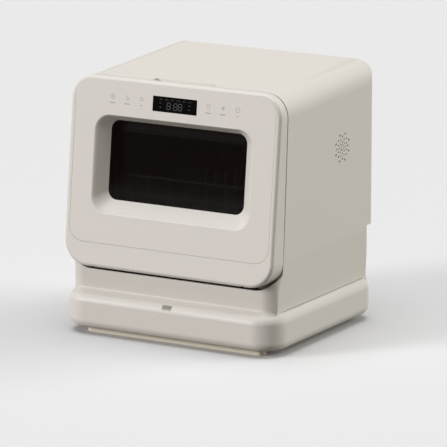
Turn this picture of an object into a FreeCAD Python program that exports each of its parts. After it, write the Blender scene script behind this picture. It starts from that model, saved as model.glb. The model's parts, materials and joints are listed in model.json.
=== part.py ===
"""Compact countertop dishwasher: a leaning drop-down door on a rounded cabinet, set on a wide plinth.

Millimetres. +Z is up, the front faces -Y, and the origin is on the floor under the middle of the plinth.
Two leaning frames are used beside the main one: the seam frame, on the plane where door and cabinet meet,
and the face frame, on the door's front face. Both have their origin at the height of the display.
"""
import FreeCAD, Part
import math
import os
import re
import Sketcher
from FreeCAD import Placement, Rotation, Vector

SIZES = {
    # Plinth and feet
    "plinth_side": 6, "base_depth": 376, "base_corner": 47, "base_under": 10.5, "base_top": 75,
    "base_top_round": 17, "base_under_round": 16, "base_wall": 3, "rim_lap": 1.2,
    "base_opening_inset": 24, "base_plate_inset": 17, "base_plate_thick": 2.5,
    "rail_inset": 39, "rail_width": 22, "rail_setback": 25, "rail_round": 8,
    "lens_width": 19, "lens_height": 10, "lens_corner": 1.5, "lens_depth": 5, "lens_lean": 36,
    "base_screw_radius": 1.6, "base_screw_head": 3.2, "base_screw_head_thick": 1.8, "base_screw_spread": 0.55,
    # Cabinet
    "cabinet_width": 420, "cabinet_top": 460, "top_rise": 2.2, "cabinet_corner": 42, "rear_setback": 6,
    "rear_round": 14, "rear_step_height": 172, "rear_step_depth": 16, "shell_wall": 2.5,
    "chin_setback": 19, "chin_corner": 32, "chin_top_drop": 306, "foot_taper": 6.5, "taper_top": 165,
    "seam_lean": 3.28, "seam_setback": 58, "display_height": 420.2, "door_space_side": 4.5,
    "door_space_gap": 4.5,
    "scoop_width": 124, "scoop_depth": 15, "scoop_drop": 12, "scoop_corner": 5,
    "vent_back": 63, "vent_height": 329, "vent_radius": 25, "vent_hole_radius": 2.2,
    "mouth_side": 22, "mouth_top": 12, "mouth_bottom": 256, "mouth_corner": 34,
    "rear_cover_side": 42, "rear_cover_low": 192, "rear_cover_high": 436, "rear_cover_corner": 24,
    "rear_cover_lap": 10, "rear_cover_thick": 2.5,
    "service_side": 50, "service_low": 88, "service_high": 158, "service_lap": 6, "service_thick": 2.5,
    "cover_screw_radius": 1.5, "cover_screw_head": 3.4, "cover_screw_head_thick": 1.8,
    "cover_screw_spread": 0.6,
    # Tub and seal
    "tub_side": 27, "tub_floor": 176, "tub_ceiling": 427, "tub_rear_room": 34, "tub_wall": 2,
    "tub_corner": 28, "tub_overrun": 60, "flange_trim": 4,
    "tub_flange": 9, "tub_flange_thick": 2.5, "seal_width": 9, "seal_gap": 0.3,
    # Door
    "face_lean": 6.33, "door_thick": 25.5, "door_side": 0.5, "door_rise": 37.5, "door_drop": 298,
    "door_corner": 43, "door_low_corner": 46, "door_edge_round": 6.2, "door_wall": 3, "door_front_wall": 6,
    "door_gap": 2, "post_radius": 5, "door_screw_head_thick": 1.2,
    "panel_side": 9.5, "panel_rise": 31.5, "panel_drop": 254.7, "panel_corner": 28, "panel_thick": 3,
    "panel_gap": 0.35,
    "recess_side": 43, "recess_rise": 29, "recess_drop": 200.5, "recess_corner": 29, "funnel_wall": 2.2,
    "glass_side": 21, "glass_rise": 38, "glass_drop": 178, "glass_corner": 17, "funnel_depth": 20,
    "glass_lap": 5, "glass_thick": 3.2,
    "display_width": 88.4, "display_tall": 26.8, "display_corner": 1.2, "display_ledge": 2,
    "board_width": 290, "board_tall": 34, "board_thick": 1.6,
    "liner_thick": 2.5, "liner_boss_inset": 17, "liner_boss_depth": 12, "liner_boss_corner": 18,
    "inner_pane_side": 54, "inner_pane_top": 62, "inner_pane_bottom": 196, "inner_pane_lap": 7,
    "inner_pane_thick": 4, "inner_pane_corner": 12,
    "cup_width": 92, "cup_tall": 22, "cup_depth": 14, "cup_wall": 2,
    # Hinge and latch
    "hinge_in": 9, "hinge_up": 9, "hinge_inset": 60, "arm_thick": 5, "arm_radius": 6, "arm_gap": 1.2,
    "arm_foot": 26, "arm_foot_thick": 3, "slot_rise": 6, "slot_room": 0.3, "slot_before": 40,
    "slot_behind": 20,
    "pin_radius": 3, "pin_clearance": 0.05, "boss_length": 12, "boss_radius": 7,
    "tongue_width": 22, "tongue_thick": 3, "tongue_reach": 10, "tongue_rise": 10,
    "tongue_corner": 0.8, "latch_side": 110, "latch_room": 3, "latch_wall": 1.5,
    # Water system
    "sump_setback": 46, "sump_radius": 46, "sump_low": 112, "sump_wall": 2.5, "sump_lip": 8,
    "sump_lip_thick": 3,
    "filter_radius": 34, "filter_wall": 1.5, "filter_rise": 9, "filter_clearance": 0.4,
    "filter_plate_thick": 1.5, "filter_plate_half": 74, "filter_plate_deep": 47, "filter_plate_trim": 4,
    "filter_grip_thick": 4, "filter_grip_rise": 6,
    "hub_gap": 92, "hub_radius": 10, "hub_bore": 7, "hub_rise": 30, "hub_collar": 15, "hub_collar_thick": 15,
    "hub_flat_room": 2, "arm_room": 15, "arm_width": 24, "arm_tall": 10, "arm_tip": 11.5, "arm_boss": 18,
    "cap_thick": 4, "nozzle_radius": 1.6, "nozzle_first": 0.2, "nozzle_pitch": 0.17,
    "top_arm_short": 17, "top_pipe_radius": 7, "top_pipe_drop": 11, "top_stub": 24, "top_cap_radius": 12.6,
    "riser_radius": 5, "riser_room": 26.5,
    "pump_height": 112, "volute_radius": 34, "volute_half": 12, "volute_wall": 3, "motor_radius": 29,
    "motor_length": 70, "impeller_radius": 25, "impeller_half": 6, "vane_thick": 2, "shaft_radius": 3,
    "wheel_disc": 2, "wheel_hub_wall": 3, "running_gap": 0.06, "pump_foot": 44, "pump_foot_sink": 23.8,
    "port_rise": 2, "side_port_half": 8, "saddle_length": 17.5,
    "drain_height": 132, "drain_radius": 20, "drain_length": 22, "drain_lap": 8, "drain_flat_lap": 6,
    "drain_motor_radius": 17, "drain_motor_length": 48, "drain_impeller_radius": 13, "drain_impeller_half": 4,
    "drain_shaft_radius": 2, "drain_shaft_length": 16.5, "drain_wall": 2.5,
    "hose_radius": 8, "hose_wall": 2, "hose_bend": 10, "thin_hose_radius": 6, "thin_hose_wall": 1.5,
    "thin_hose_bend": 6.6, "riser_bend": 5.5, "suction_drop": 22, "suction_room": 32, "hose_room": 6,
    "outlet_room": 34,
    "heater_front_room": 42, "heater_rear_room": 34, "heater_tube": 4, "heater_lift": 3, "heater_leg": 34,
    "clip_half": 6,
    "inlet_side": 50, "outlet_side": 120, "service_height": 120, "inlet_thread_radius": 13.2, "inlet_bore": 8,
    "outlet_radius": 9, "outlet_bore": 5, "outlet_tail": 14, "outlet_collar": 14, "spigot_reach": 18,
    "neck_relief": 1, "neck_room": 0.3,
    "valve_wide": 36, "valve_deep": 30,
    "mains_side": 118, "mains_wide": 48, "mains_tall": 28, "mains_deep": 26, "mains_wall": 4,
    "mains_socket": 17,
    # Drying fan
    "fan_half": 36, "fan_bore": 31, "fan_radius": 28.5, "fan_deep": 18, "fan_blade_half": 5, "fan_hub": 9,
    "fan_pin": 2.5, "fan_pin_length": 15.3, "fan_web": 3, "fan_end_gap": 0.6, "fan_port_radius": 21.7,
    # Controls
    "box_wide": 100, "box_side": 14, "box_low_y": -20, "box_high_y": 112, "box_tall": 34, "box_wall": 2,
    "control_lift": 6, "tray_post_inset": 10, "tray_post_radius": 4,
    "relay_first": 16, "relay_pitch": 24, "relay_wide": 18, "relay_back": 14, "relay_deep": 16,
    "relay_tall": 15,
    "can_first": 30, "can_pitch": 22, "can_back": 60, "can_radius": 7, "can_tall": 18,
    "coil_first": 20, "coil_wide": 32, "coil_back": 84, "coil_deep": 28, "coil_tall": 20,
    # Rack
    "rack_side": 23, "rack_front_room": 18, "rack_rear_room": 20, "rack_floor": 214, "rack_rim": 278,
    "wire_radius": 1.6, "rim_radius": 2.4, "tine_top": 286, "runner_low": 203, "runner_thick": 4,
    "runner_width": 19,
    "runner_front_room": 12, "runner_rear_room": 8, "glide_length": 30, "glide_gap": 6,
    "basket_wide": 60, "basket_side": 10, "basket_low_y": -64, "basket_high_y": 88, "basket_tall": 74,
    "basket_wall": 2, "basket_slot": 8, "basket_rim": 11,
}

# Sizes that follow the width of the cabinet and the depth of the plinth.
FOLLOWING = {
    "base_width": "cabinet_width + 2 * plinth_side",
    "rail_length": "base_width - 2 * rail_inset",
    "rail_front": "base_depth / 2 - rail_setback",
    "cabinet_rear": "base_depth / 2 - rear_setback",
    "chin_front": "base_depth / 2 - chin_setback",
    "seam_front": "base_depth / 2 - seam_setback",
    "face_front": "seam_front + door_thick",
    "door_width": "cabinet_width - 2 * door_side",
    "panel_half": "door_width / 2 - panel_side",
    "recess_half": "panel_half - recess_side",
    "glass_half": "recess_half - glass_side",
    "mouth_half": "cabinet_width / 2 - mouth_side",
    "inner_pane_half": "mouth_half - inner_pane_side",
    "rear_cover_half": "cabinet_width / 2 - rear_cover_side",
    "service_half": "cabinet_width / 2 - service_side",
    "hinge_side": "cabinet_width / 2 - hinge_inset",
    "tub_half": "cabinet_width / 2 - tub_side",
    "tub_back": "cabinet_rear - tub_rear_room",
    "riser_back": "cabinet_rear - riser_room",
    "sump_front": "seam_front - sump_setback",
    "hub_back": "hub_gap - sump_front",
    "arm_reach": "tub_back - hub_back - arm_room",
    "top_arm_reach": "arm_reach - top_arm_short",
    "heater_front": "sump_front - heater_front_room",
    "heater_rear": "tub_back - heater_rear_room",
    "heater_radius": "(heater_rear + heater_front) / 2",
    "heater_back": "(heater_rear - heater_front) / 2",
    "heater_leg_back": "heater_back + sqrt(heater_radius ^ 2 - (heater_leg / 2) ^ 2)",
    "service_front": "cabinet_rear - rear_step_depth - shell_wall - service_thick",
    "box_high_x": "cabinet_width / 2 - box_side",
    "box_low_x": "box_high_x - box_wide",
    "hinge_y": "hinge_in * cos(face_lean) - (door_drop - hinge_up) * sin(face_lean) - face_front",
    "hinge_z": "display_height - hinge_in * sin(face_lean) - (door_drop - hinge_up) * cos(face_lean)",
    "rack_half": "tub_half - rack_side",
    "rack_front": "seam_front - rack_front_room",
    "rack_rear": "tub_back - rack_rear_room",
    "runner_front": "seam_front - runner_front_room",
    "runner_rear": "tub_back - runner_rear_room",
    "basket_high_x": "rack_half - basket_side",
    "basket_low_x": "basket_high_x - basket_wide",
}

doc = FreeCAD.newDocument("countertop_dishwasher")
sheet = doc.addObject("Spreadsheet::Sheet", "Sizes")
for row, (alias, value) in enumerate(SIZES.items(), start=1):
    sheet.set(f"A{row}", alias)
    sheet.set(f"B{row}", str(value))
    sheet.setAlias(f"B{row}", alias)
doc.recompute()

NODES = {}
AXIS_TURNS = {
    "x": Rotation(Vector(0, 1, 0), 90),
    "y": Rotation(Vector(1, 0, 0), -90),
    "z": Rotation(),
}
SIDES = (("left", -1), ("right", 1))


def formula(text):
    """The text with each size's name pointed at its cell, and each following size written out."""
    def spelled(word):
        name = word[0]
        if name in FOLLOWING:
            return f"({formula(FOLLOWING[name])})"
        return "Sizes." + name if name in SIZES else name

    return re.sub(r"[a-z][a-z_]+", spelled, str(text))


def bind(thing, path, text):
    thing.setExpression(path, formula(text))


def number(text):
    """The value of a formula, in millimetres or degrees."""
    return float(sheet.evalExpression(formula(text)))


def node(name, thing):
    """Marks a finished sub-part."""
    thing.Label = name
    NODES[name] = thing
    return thing


def place(thing, lean, y, z):
    """Puts a thing modelled in a leaning frame where that frame stands."""
    thing.Placement = Placement(Vector(), Rotation(Vector(1, 0, 0), -1))
    bind(thing, "Placement.Rotation.Angle", f"-({lean})")
    bind(thing, "Placement.Base.y", y)
    bind(thing, "Placement.Base.z", z)
    return thing


def in_seam_frame(thing):
    return place(thing, "seam_lean", "-seam_front", "display_height")


def in_face_frame(thing):
    return place(thing, "face_lean", "-face_front", "display_height")


def box(name, x, y, z):
    """Block between a low and a high formula on each axis."""
    block = doc.addObject("Part::Box", name)
    for side, axis, (low, high) in zip(("Length", "Width", "Height"), "xyz", (x, y, z)):
        bind(block, side, f"({high}) - ({low})")
        bind(block, "Placement.Base." + axis, low)
    return block


def rod(name, axis, start, radius, length):
    """Cylinder that runs from its start towards the positive end of an axis."""
    bar = doc.addObject("Part::Cylinder", name)
    bar.Placement = Placement(Vector(), AXIS_TURNS[axis])
    bind(bar, "Radius", radius)
    bind(bar, "Height", length)
    for letter, place_on_axis in zip("xyz", start):
        bind(bar, "Placement.Base." + letter, place_on_axis)
    return bar


def fuse(name, *pieces):
    whole = doc.addObject("Part::MultiFuse", name)
    whole.Shapes = list(pieces)
    return whole


def common(name, *pieces):
    shared = doc.addObject("Part::MultiCommon", name)
    shared.Shapes = list(pieces)
    return shared


def cut(name, base, *tools):
    """The base with each tool taken from it in turn."""
    for left, tool in zip(reversed(range(len(tools))), tools):
        rest = doc.addObject("Part::Cut", f"{name}_{left}" if left else name)
        rest.Base = base
        rest.Tool = tool
        base = rest
    return base


def holder(name, *pieces):
    """Pieces kept apart, but placed and used together."""
    bundle = doc.addObject("Part::Compound", name)
    bundle.Links = list(pieces)
    return bundle


def body(name):
    return doc.addObject("PartDesign::Body", name)


def attach(sketch, owner, plane, u, v, offset):
    """Lays a sketch on an origin plane of its body, moved by u and v in it and by offset along its normal."""
    planes = {feature.Role: feature for feature in owner.Origin.OriginFeatures}
    sketch.AttachmentSupport = [(planes[plane + "_Plane"], "")]
    sketch.MapMode = "FlatFace"
    for letter, shift in zip("xyz", (u, v, offset)):
        bind(sketch, "AttachmentOffset.Base." + letter, shift)


def rounded_rectangle(owner, name, plane, width, height, radius, u="0", v="0", offset="0", low_radius=None):
    """Sketch of a rectangle with round corners, centred on (u, v). The lower ones may differ."""
    sketch = owner.newObject("Sketcher::SketchObject", name)
    attach(sketch, owner, plane, u, v, offset)
    across, up = number(width) / 2, number(height) / 2
    high, low = number(radius), number(low_radius or radius)
    corners = ((1, -1, -90, low), (1, 1, 0, high), (-1, 1, 90, high), (-1, -1, 180, low))
    starts = ((-1, -1, 1, 0, low), (1, -1, 0, 1, low), (1, 1, -1, 0, high), (-1, 1, 0, -1, high))
    for (right, top, angle, turn), (side_x, side_y, along_x, along_y, before) in zip(corners, starts):
        first = Vector(side_x * across + along_x * before, side_y * up + along_y * before)
        last = Vector(right * across - along_x * turn, top * up - along_y * turn)
        sketch.addGeometry(Part.LineSegment(first, last))
        centre = Vector(right * (across - turn), top * (up - turn))
        circle = Part.Circle(centre, Vector(0, 0, 1), turn)
        sketch.addGeometry(Part.ArcOfCircle(circle, math.radians(angle), math.radians(angle + 90)))
    for line in (0, 2, 4, 6):
        sketch.addConstraint(Sketcher.Constraint("Tangent", line, 2, line + 1, 1))
        sketch.addConstraint(Sketcher.Constraint("Tangent", line + 1, 2, (line + 2) % 8, 1))
        sketch.addConstraint(Sketcher.Constraint("Horizontal" if line in (0, 4) else "Vertical", line))
    # The lower arcs are 1 and 7, the upper ones 3 and 5.
    for first_arc, second_arc in ((1, 7), (3, 5)):
        sketch.addConstraint(Sketcher.Constraint("Equal", first_arc, second_arc))
    for label, constraint, text in (
        ("width", Sketcher.Constraint("DistanceX", 6, 1, 2, 1, 2 * across), width),
        ("height", Sketcher.Constraint("DistanceY", 0, 1, 4, 1, 2 * up), height),
        ("half_width", Sketcher.Constraint("DistanceX", -1, 1, 2, 1, across), f"({width}) / 2"),
        ("half_height", Sketcher.Constraint("DistanceY", -1, 1, 4, 1, up), f"({height}) / 2"),
        ("corner", Sketcher.Constraint("Radius", 3, high), radius),
        ("low_corner", Sketcher.Constraint("Radius", 1, low), low_radius or radius),
    ):
        sketch.renameConstraint(sketch.addConstraint(constraint), label)
        bind(sketch, "Constraints." + label, text)
    return sketch


def pad(owner, sketch, length, backwards=False):
    """Raises a sketch along its normal: up from XY, to the front from XZ, to the right from YZ."""
    feature = owner.newObject("PartDesign::Pad", sketch.Name + "_pad")
    feature.Profile = sketch
    feature.Reversed = backwards
    bind(feature, "Length", length)
    return feature


def pocket(owner, sketch, length):
    """Sinks a sketch against its normal: down from XY, to the rear from XZ."""
    doc.recompute()
    before = owner.Shape.Volume
    feature = owner.newObject("PartDesign::Pocket", sketch.Name + "_pocket")
    feature.Profile = sketch
    bind(feature, "Length", length)
    doc.recompute()
    if owner.Shape.Volume > before - 1:
        raise RuntimeError(sketch.Name + " cuts nothing")
    return feature


def loft(owner, kind, first, second):
    feature = owner.newObject("PartDesign::" + kind, first.Name + "_loft")
    feature.Profile = first
    feature.Sections = [second]
    feature.Ruled = True
    return feature


def round_edges(owner, radius, wanted):
    """Fillets the edges of a body whose middle point passes a test."""
    doc.recompute()
    edges = owner.Shape.Edges
    picked = [f"Edge{i}" for i, edge in enumerate(edges, start=1) if wanted(edge.CenterOfMass)]
    tip = owner.Tip
    feature = owner.newObject("PartDesign::Fillet", owner.Name + "_round")
    feature.Base = (tip, picked)
    bind(feature, "Radius", radius)
    return feature


def slab(name, width, height, corner, centre, near, far, across="0", low_corner=None):
    """Body of an upright rounded plate in a leaning frame, from the depth near to the depth far."""
    plate = body(name)
    outline = rounded_rectangle(plate, name + "_outline", "XZ", width, height, corner, u=across, v=centre,
                                offset=f"-({near})", low_radius=low_corner)
    pad(plate, outline, f"({far}) - ({near})", backwards=True)
    return plate


def tube(name, points, radius, wall, bend):
    """Hose along straight runs with round bends; its bore is open at both ends."""
    corners = [Vector(*(number(text) for text in point)) for point in points]
    turn = number(bend)
    edges = []
    here = corners[0]
    for before, corner, after in zip(corners, corners[1:], corners[2:]):
        back, ahead = (before - corner).normalize(), (after - corner).normalize()
        half = back.getAngle(ahead) / 2
        start = corner + back * (turn / math.tan(half))
        end = corner + ahead * (turn / math.tan(half))
        middle = corner + (back + ahead).normalize() * (turn / math.sin(half) - turn)
        edges.append(Part.LineSegment(here, start).toShape())
        edges.append(Part.Arc(start, middle, end).toShape())
        here = end
    edges.append(Part.LineSegment(here, corners[-1]).toShape())
    path = Part.Wire(edges)
    heading = corners[1] - corners[0]

    def swept(section):
        ring = Part.Wire([Part.Circle(corners[0], heading, section).toShape()])
        return path.makePipeShell([ring], True, True)

    hose = doc.addObject("Part::Feature", name)
    hose.Shape = swept(number(radius)).cut(swept(number(f"{radius} - {wall}")))
    return hose


# Plinth


def base_block(name, inset):
    """The plinth's outer form, drawn in by an inset on every side."""
    block = body(name)
    outline = rounded_rectangle(block, name + "_outline", "XY", f"base_width - 2 * {inset}",
                                f"base_depth - 2 * {inset}", f"base_corner - {inset}",
                                offset=f"base_under + {inset}")
    pad(block, outline, f"base_top - base_under - 2 * {inset}")
    top = number(f"base_top - {inset}")
    under = number(f"base_under + {inset}")
    round_edges(block, f"base_top_round - {inset}", lambda middle: abs(middle.z - top) < 0.01)
    round_edges(block, f"base_under_round - {inset}", lambda middle: abs(middle.z - under) < 0.01)
    return block


def build_base():
    outer = base_block("plinth_outside", "0")
    inner = base_block("plinth_inside", "base_wall")
    # The cabinet's side walls stand over the round of the top edge: a rim fills the room below them.
    rim_half = "(cabinet_width / 2 - foot_taper + rim_lap)"
    rim_sides = box("rim_sides", (f"-{rim_half}", rim_half), ("-base_depth", "base_depth"),
                    ("0", "2 * base_top"))
    rim = common("plinth_rim", rim_sides,
                 *cabinet_plan("rim", "(-rim_lap)", "cabinet_rear - rear_step_depth",
                               "base_top - base_top_round", "base_top_round"))
    opening = body("plinth_opening")
    pad(opening,
        rounded_rectangle(opening, "plinth_opening_outline", "XY", "base_width - 2 * base_opening_inset",
                                   "base_depth - 2 * base_opening_inset", "base_corner - base_opening_inset"),
        "base_under + 2 * base_wall")
    # The lens sits on the round of the plinth's top edge, facing up and forwards.
    lens_block = place(slab("lens_block", "lens_width", "lens_height", "lens_corner", "0", "-lens_depth",
                            "lens_depth"), "lens_lean",
                       "base_top_round * (1 - cos(lens_lean)) - base_depth / 2",
                       "base_top - base_top_round * (1 - sin(lens_lean))")
    node("status_lens", common("lens_form", outer, lens_block))
    screw_holes = []
    screws = []
    flange = "base_under + base_wall"
    edge_x = "base_width / 2 - (base_opening_inset + base_plate_inset) / 2"
    edge_y = "base_depth / 2 - (base_opening_inset + base_plate_inset) / 2"
    spots = [(f"{a} * ({edge_x})", f"{b} * ({edge_y}) * base_screw_spread")
             for a in (-1, 1) for b in (-1, 0, 1)]
    spots += [("0", f"{b} * ({edge_y})") for b in (-1, 1)]
    for count, (x, y) in enumerate(spots):
        at = (x, y, "base_under - base_screw_head_thick")
        through = "base_screw_head_thick + base_wall + base_plate_thick"
        shank = rod(f"base_shank_{count}", "z", at, "base_screw_radius", through)
        head = rod(f"base_head_{count}", "z", at, "base_screw_head", "base_screw_head_thick")
        screws.append(fuse(f"base_screw_{count}", shank, head))
        screw_holes.append(rod(f"base_hole_{count}", "z", (x, y, "0"), "base_screw_radius",
                               "base_under + base_wall + 2 * base_plate_thick"))
    holes = fuse("base_holes", *screw_holes)
    node("base_screws", holder("base_screw_set", *screws))
    solid = fuse("plinth_body", outer, rim)
    node("base_plinth", cut("plinth_form", solid, inner, opening, lens_block, holes))
    plate = body("plate_blank")
    pad(plate, rounded_rectangle(plate, "plate_outline", "XY", "base_width - 2 * base_plate_inset",
                                 "base_depth - 2 * base_plate_inset", "base_corner - base_plate_inset",
                                 offset=flange), "base_plate_thick")
    node("base_plate", cut("plate_form", plate, holes))
    for end, facing in (("front", -1), ("rear", 1)):
        rail = body(end + "_rail_form")
        pad(rail,
            rounded_rectangle(rail, end + "_rail_outline", "XY", "rail_length", "rail_width", "rail_round",
                                    v=f"{facing} * (rail_front - rail_width / 2)"), flange)
        node(end + "_foot_rail", rail)


# Cabinet


def cabinet_plan(name, inset, rear, low, height):
    """Outlines that meet in the cabinet's plan, drawn in by an inset: one rounds the front, one the rear."""
    # Each outline is drawn long at its far end, so that only its near corners shape the cabinet.
    deep = "2 * base_depth"
    outlines = []
    for label, corner, v in (("front_plan", "chin_corner", f"{deep} / 2 - chin_front + {inset}"),
                             ("rear_plan", "rear_round", f"{rear} - {inset} - {deep} / 2")):
        plan = body(f"{name}_{label}")
        outline = rounded_rectangle(plan, f"{name}_{label}_outline", "XY", f"cabinet_width - 2 * {inset}",
                                    deep, f"{corner} - {inset}", v=v, offset=low)
        pad(plan, outline, height)
        outlines.append(plan)
    return outlines


def cabinet_waist(name, inset):
    """Room whose sides stand upright at the top and lean in below, where the cabinet narrows to its foot."""
    waist = body(name)
    outlines = []
    for end, lean, z in (("low", "foot_taper * taper_top / (taper_top - base_top)", "0"),
                         ("high", "0", "taper_top")):
        wide = f"cabinet_width - 2 * ({inset} + {lean})"
        outlines.append(rounded_rectangle(waist, f"{name}_{end}", "XY", wide, "4 * base_depth", "rear_round",
                                          offset=z))
    loft(waist, "AdditiveLoft", *outlines)
    half = f"(cabinet_width / 2 - {inset})"
    above = box(name + "_above", (f"-{half}", half), ("-2 * base_depth", "2 * base_depth"),
                ("taper_top", "2 * cabinet_top"))
    return fuse(name + "_room", waist, above)


def cabinet_block(name, inset):
    """The cabinet's outer form, drawn in by an inset: a rounded hood whose top climbs to the rear."""
    hood = place(slab(name + "_hood", f"cabinet_width - 2 * {inset}", "2 * cabinet_top",
                      f"cabinet_corner - {inset}",
                      f"-cabinet_top - {inset}", "-base_depth", "base_depth"), "-top_rise", "0",
                 "cabinet_top")
    deep = "2 * base_depth"
    rear = f"cabinet_rear - {inset}"
    side = body(name + "_side")
    pad(side, rounded_rectangle(side, name + "_side_outline", "YZ", deep, deep, f"rear_round - {inset}",
                                u=f"{rear} - {deep} / 2",
                                v=f"cabinet_top + ({rear}) * tan(top_rise) - {inset} - {deep} / 2",
                                offset="-cabinet_width"), "2 * cabinet_width")
    form = common(name + "_form", hood, side, cabinet_waist(name + "_waist", inset),
                  *cabinet_plan(name, inset, "cabinet_rear", "0", "2 * cabinet_top"))
    behind = box(name + "_behind", ("-cabinet_width", "cabinet_width"), ("0", "2 * cabinet_rear"),
                 ("-base_top", f"rear_step_height + {inset}"))
    lower = common(name + "_lower",
                   *cabinet_plan(name + "_step", inset, "cabinet_rear - rear_step_depth", "-2 * base_top",
                                 "2 * cabinet_top"))
    return cut(name, form, cut(name + "_step", behind, lower))


def door_space(name, grow):
    """The room in front of the seam plane that the door closes into."""
    width = f"door_width + 2 * (door_space_side + {grow})"
    height = "chin_top_drop + cabinet_corner * 2"
    return in_seam_frame(slab(name, width, f"{height} + 2 * {grow}",
                              f"door_low_corner + door_space_gap + {grow}", f"({height}) / 2 - chin_top_drop",
                              "-base_depth / 4", grow))


def scoop_block(name, grow):
    """The finger scoop behind the middle of the door's top edge."""
    low = f"(cabinet_top - display_height) - scoop_drop - {grow} - (seam_front - scoop_depth) * tan(top_rise)"
    tall = "3 * scoop_drop"
    block = body(name)
    outline = rounded_rectangle(block, name + "_outline", "XY", f"scoop_width + 2 * {grow}",
                                f"2 * scoop_depth + 2 * {grow}", f"scoop_corner + {grow}", offset=low)
    pad(block, outline, tall)
    return in_seam_frame(block)


def vent_drills():
    """Eight holes on each of five rings, every other ring turned by half a step."""
    ring_count, spoke_count = 5, 8
    drills = []
    for ring in range(ring_count):
        for spoke in range(spoke_count):
            turn = 360 / spoke_count * (spoke + (ring + 1) % 2 / 2)
            reach = f"vent_radius * {(ring + 1) / ring_count}"
            at = ("cabinet_width / 2 - 3 * shell_wall", f"vent_back + {reach} * cos({turn})",
                  f"vent_height + {reach} * sin({turn})")
            drills.append(rod(f"vent_{ring}_{spoke}", "x", at, f"vent_hole_radius * {0.6 + 0.1 * ring}",
                              "6 * shell_wall"))
    return holder("vent_drills", *drills)


def build_cabinet():
    outer = cabinet_block("cabinet_outside", "0")
    hollow = cut("cabinet_hollow", cabinet_block("cabinet_inside", "shell_wall"),
                 door_space("door_space_wall", "shell_wall"), scoop_block("scoop_wall", "shell_wall"))
    below = box("below_cabinet", ("-cabinet_width", "cabinet_width"), ("-base_depth", "base_depth"),
                ("-base_top", "base_top"))
    mouth = in_seam_frame(slab("mouth", "2 * mouth_half", "mouth_top + mouth_bottom", "mouth_corner",
                               "(mouth_top - mouth_bottom) / 2", "-shell_wall", "2 * shell_wall"))
    rear_window = slab("rear_window", "2 * rear_cover_half", "rear_cover_high - rear_cover_low",
                       "rear_cover_corner", "(rear_cover_high + rear_cover_low) / 2",
                       "cabinet_rear - 2 * shell_wall", "cabinet_rear + shell_wall")
    wall_y = "cabinet_rear - rear_step_depth"
    service_window = box("service_window", ("-service_half", "service_half"),
                         (f"{wall_y} - 2 * shell_wall", f"{wall_y} + shell_wall"),
                         ("service_low", "service_high"))
    arm_slots = []
    for side, sign in SIDES:
        half = "(arm_thick / 2 + slot_room)"
        arm_slots.append(box(side + "_arm_slot",
                             (f"{sign} * hinge_side - {half}", f"{sign} * hinge_side + {half}"),
                             ("-seam_front - slot_before", "-seam_front + slot_behind"),
                             ("hinge_z - arm_radius - slot_room", "hinge_z + arm_radius + slot_room")))
    tongue_slot = latch_block("tongue_slot", "latch_room", "-shell_wall", "2 * shell_wall")
    cover_holes, cover_screws = rear_fasteners()
    shell = cut("shell_form", outer, hollow, door_space("door_space_face", "0"), scoop_block("scoop", "0"),
                below,
                mouth, rear_window, service_window, vent_drills(), tongue_slot, cover_holes, *arm_slots)
    node("cabinet_shell", shell)
    inside = "cabinet_rear - shell_wall"
    cover = slab("cover_blank", "2 * (rear_cover_half + rear_cover_lap)",
                 "rear_cover_high - rear_cover_low + 2 * rear_cover_lap",
                 "rear_cover_corner + rear_cover_lap",
                 "(rear_cover_high + rear_cover_low) / 2", f"{inside} - rear_cover_thick", inside)
    node("rear_cover", cut("cover_form", cover, cover_holes))
    node("rear_cover_screws", holder("rear_cover_screw_set", *cover_screws))


def rear_fasteners():
    """Screws that hold the rear cover to the rim of the cabinet, and the holes that they pass through."""
    middle = "(rear_cover_high + rear_cover_low) / 2"
    rim_x = "(rear_cover_half + rear_cover_lap / 2)"
    rim_z = "((rear_cover_high - rear_cover_low) / 2 + rear_cover_lap / 2)"
    spots = [(f"{a} * {rim_x}", f"{middle} + {b} * {rim_z} * cover_screw_spread")
             for a in (-1, 1) for b in (-1, 1)]
    spots += [("0", f"{middle} + {b} * {rim_z}") for b in (-1, 1)]
    length = "shell_wall + rear_cover_thick"
    start = "cabinet_rear - shell_wall - rear_cover_thick"
    holes = []
    screws = []
    for count, (x, z) in enumerate(spots):
        holes.append(rod(f"cover_hole_{count}", "y", (x, start, z), "cover_screw_radius", f"2 * ({length})"))
        shank = rod(f"cover_shank_{count}", "y", (x, start, z), "cover_screw_radius", length)
        head = rod(f"cover_head_{count}", "y", (x, "cabinet_rear", z), "cover_screw_head",
                   "cover_screw_head_thick")
        screws.append(fuse(f"cover_screw_{count}", shank, head))
    return holder("cover_holes", *holes), screws


def latch_block(name, grow, near, far):
    """A block along the latch tongue, larger than it by grow on every side."""
    return in_seam_frame(slab(name, f"tongue_width + 2 * ({grow})", f"tongue_thick + 2 * ({grow})",
                              "tongue_corner",
                              "mouth_top + tongue_rise", near, far, across="latch_side"))


# Tub, seal and the parts fixed to them


def tub_block(name, inset, front, rear):
    low = f"tub_floor - tub_wall + {inset}"
    high = f"tub_ceiling + tub_wall - {inset}"
    return slab(name, f"2 * (tub_half + tub_wall - {inset})", f"{high} - ({low})", f"tub_corner - {inset}",
                f"({high} + {low}) / 2", front, rear)


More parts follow.
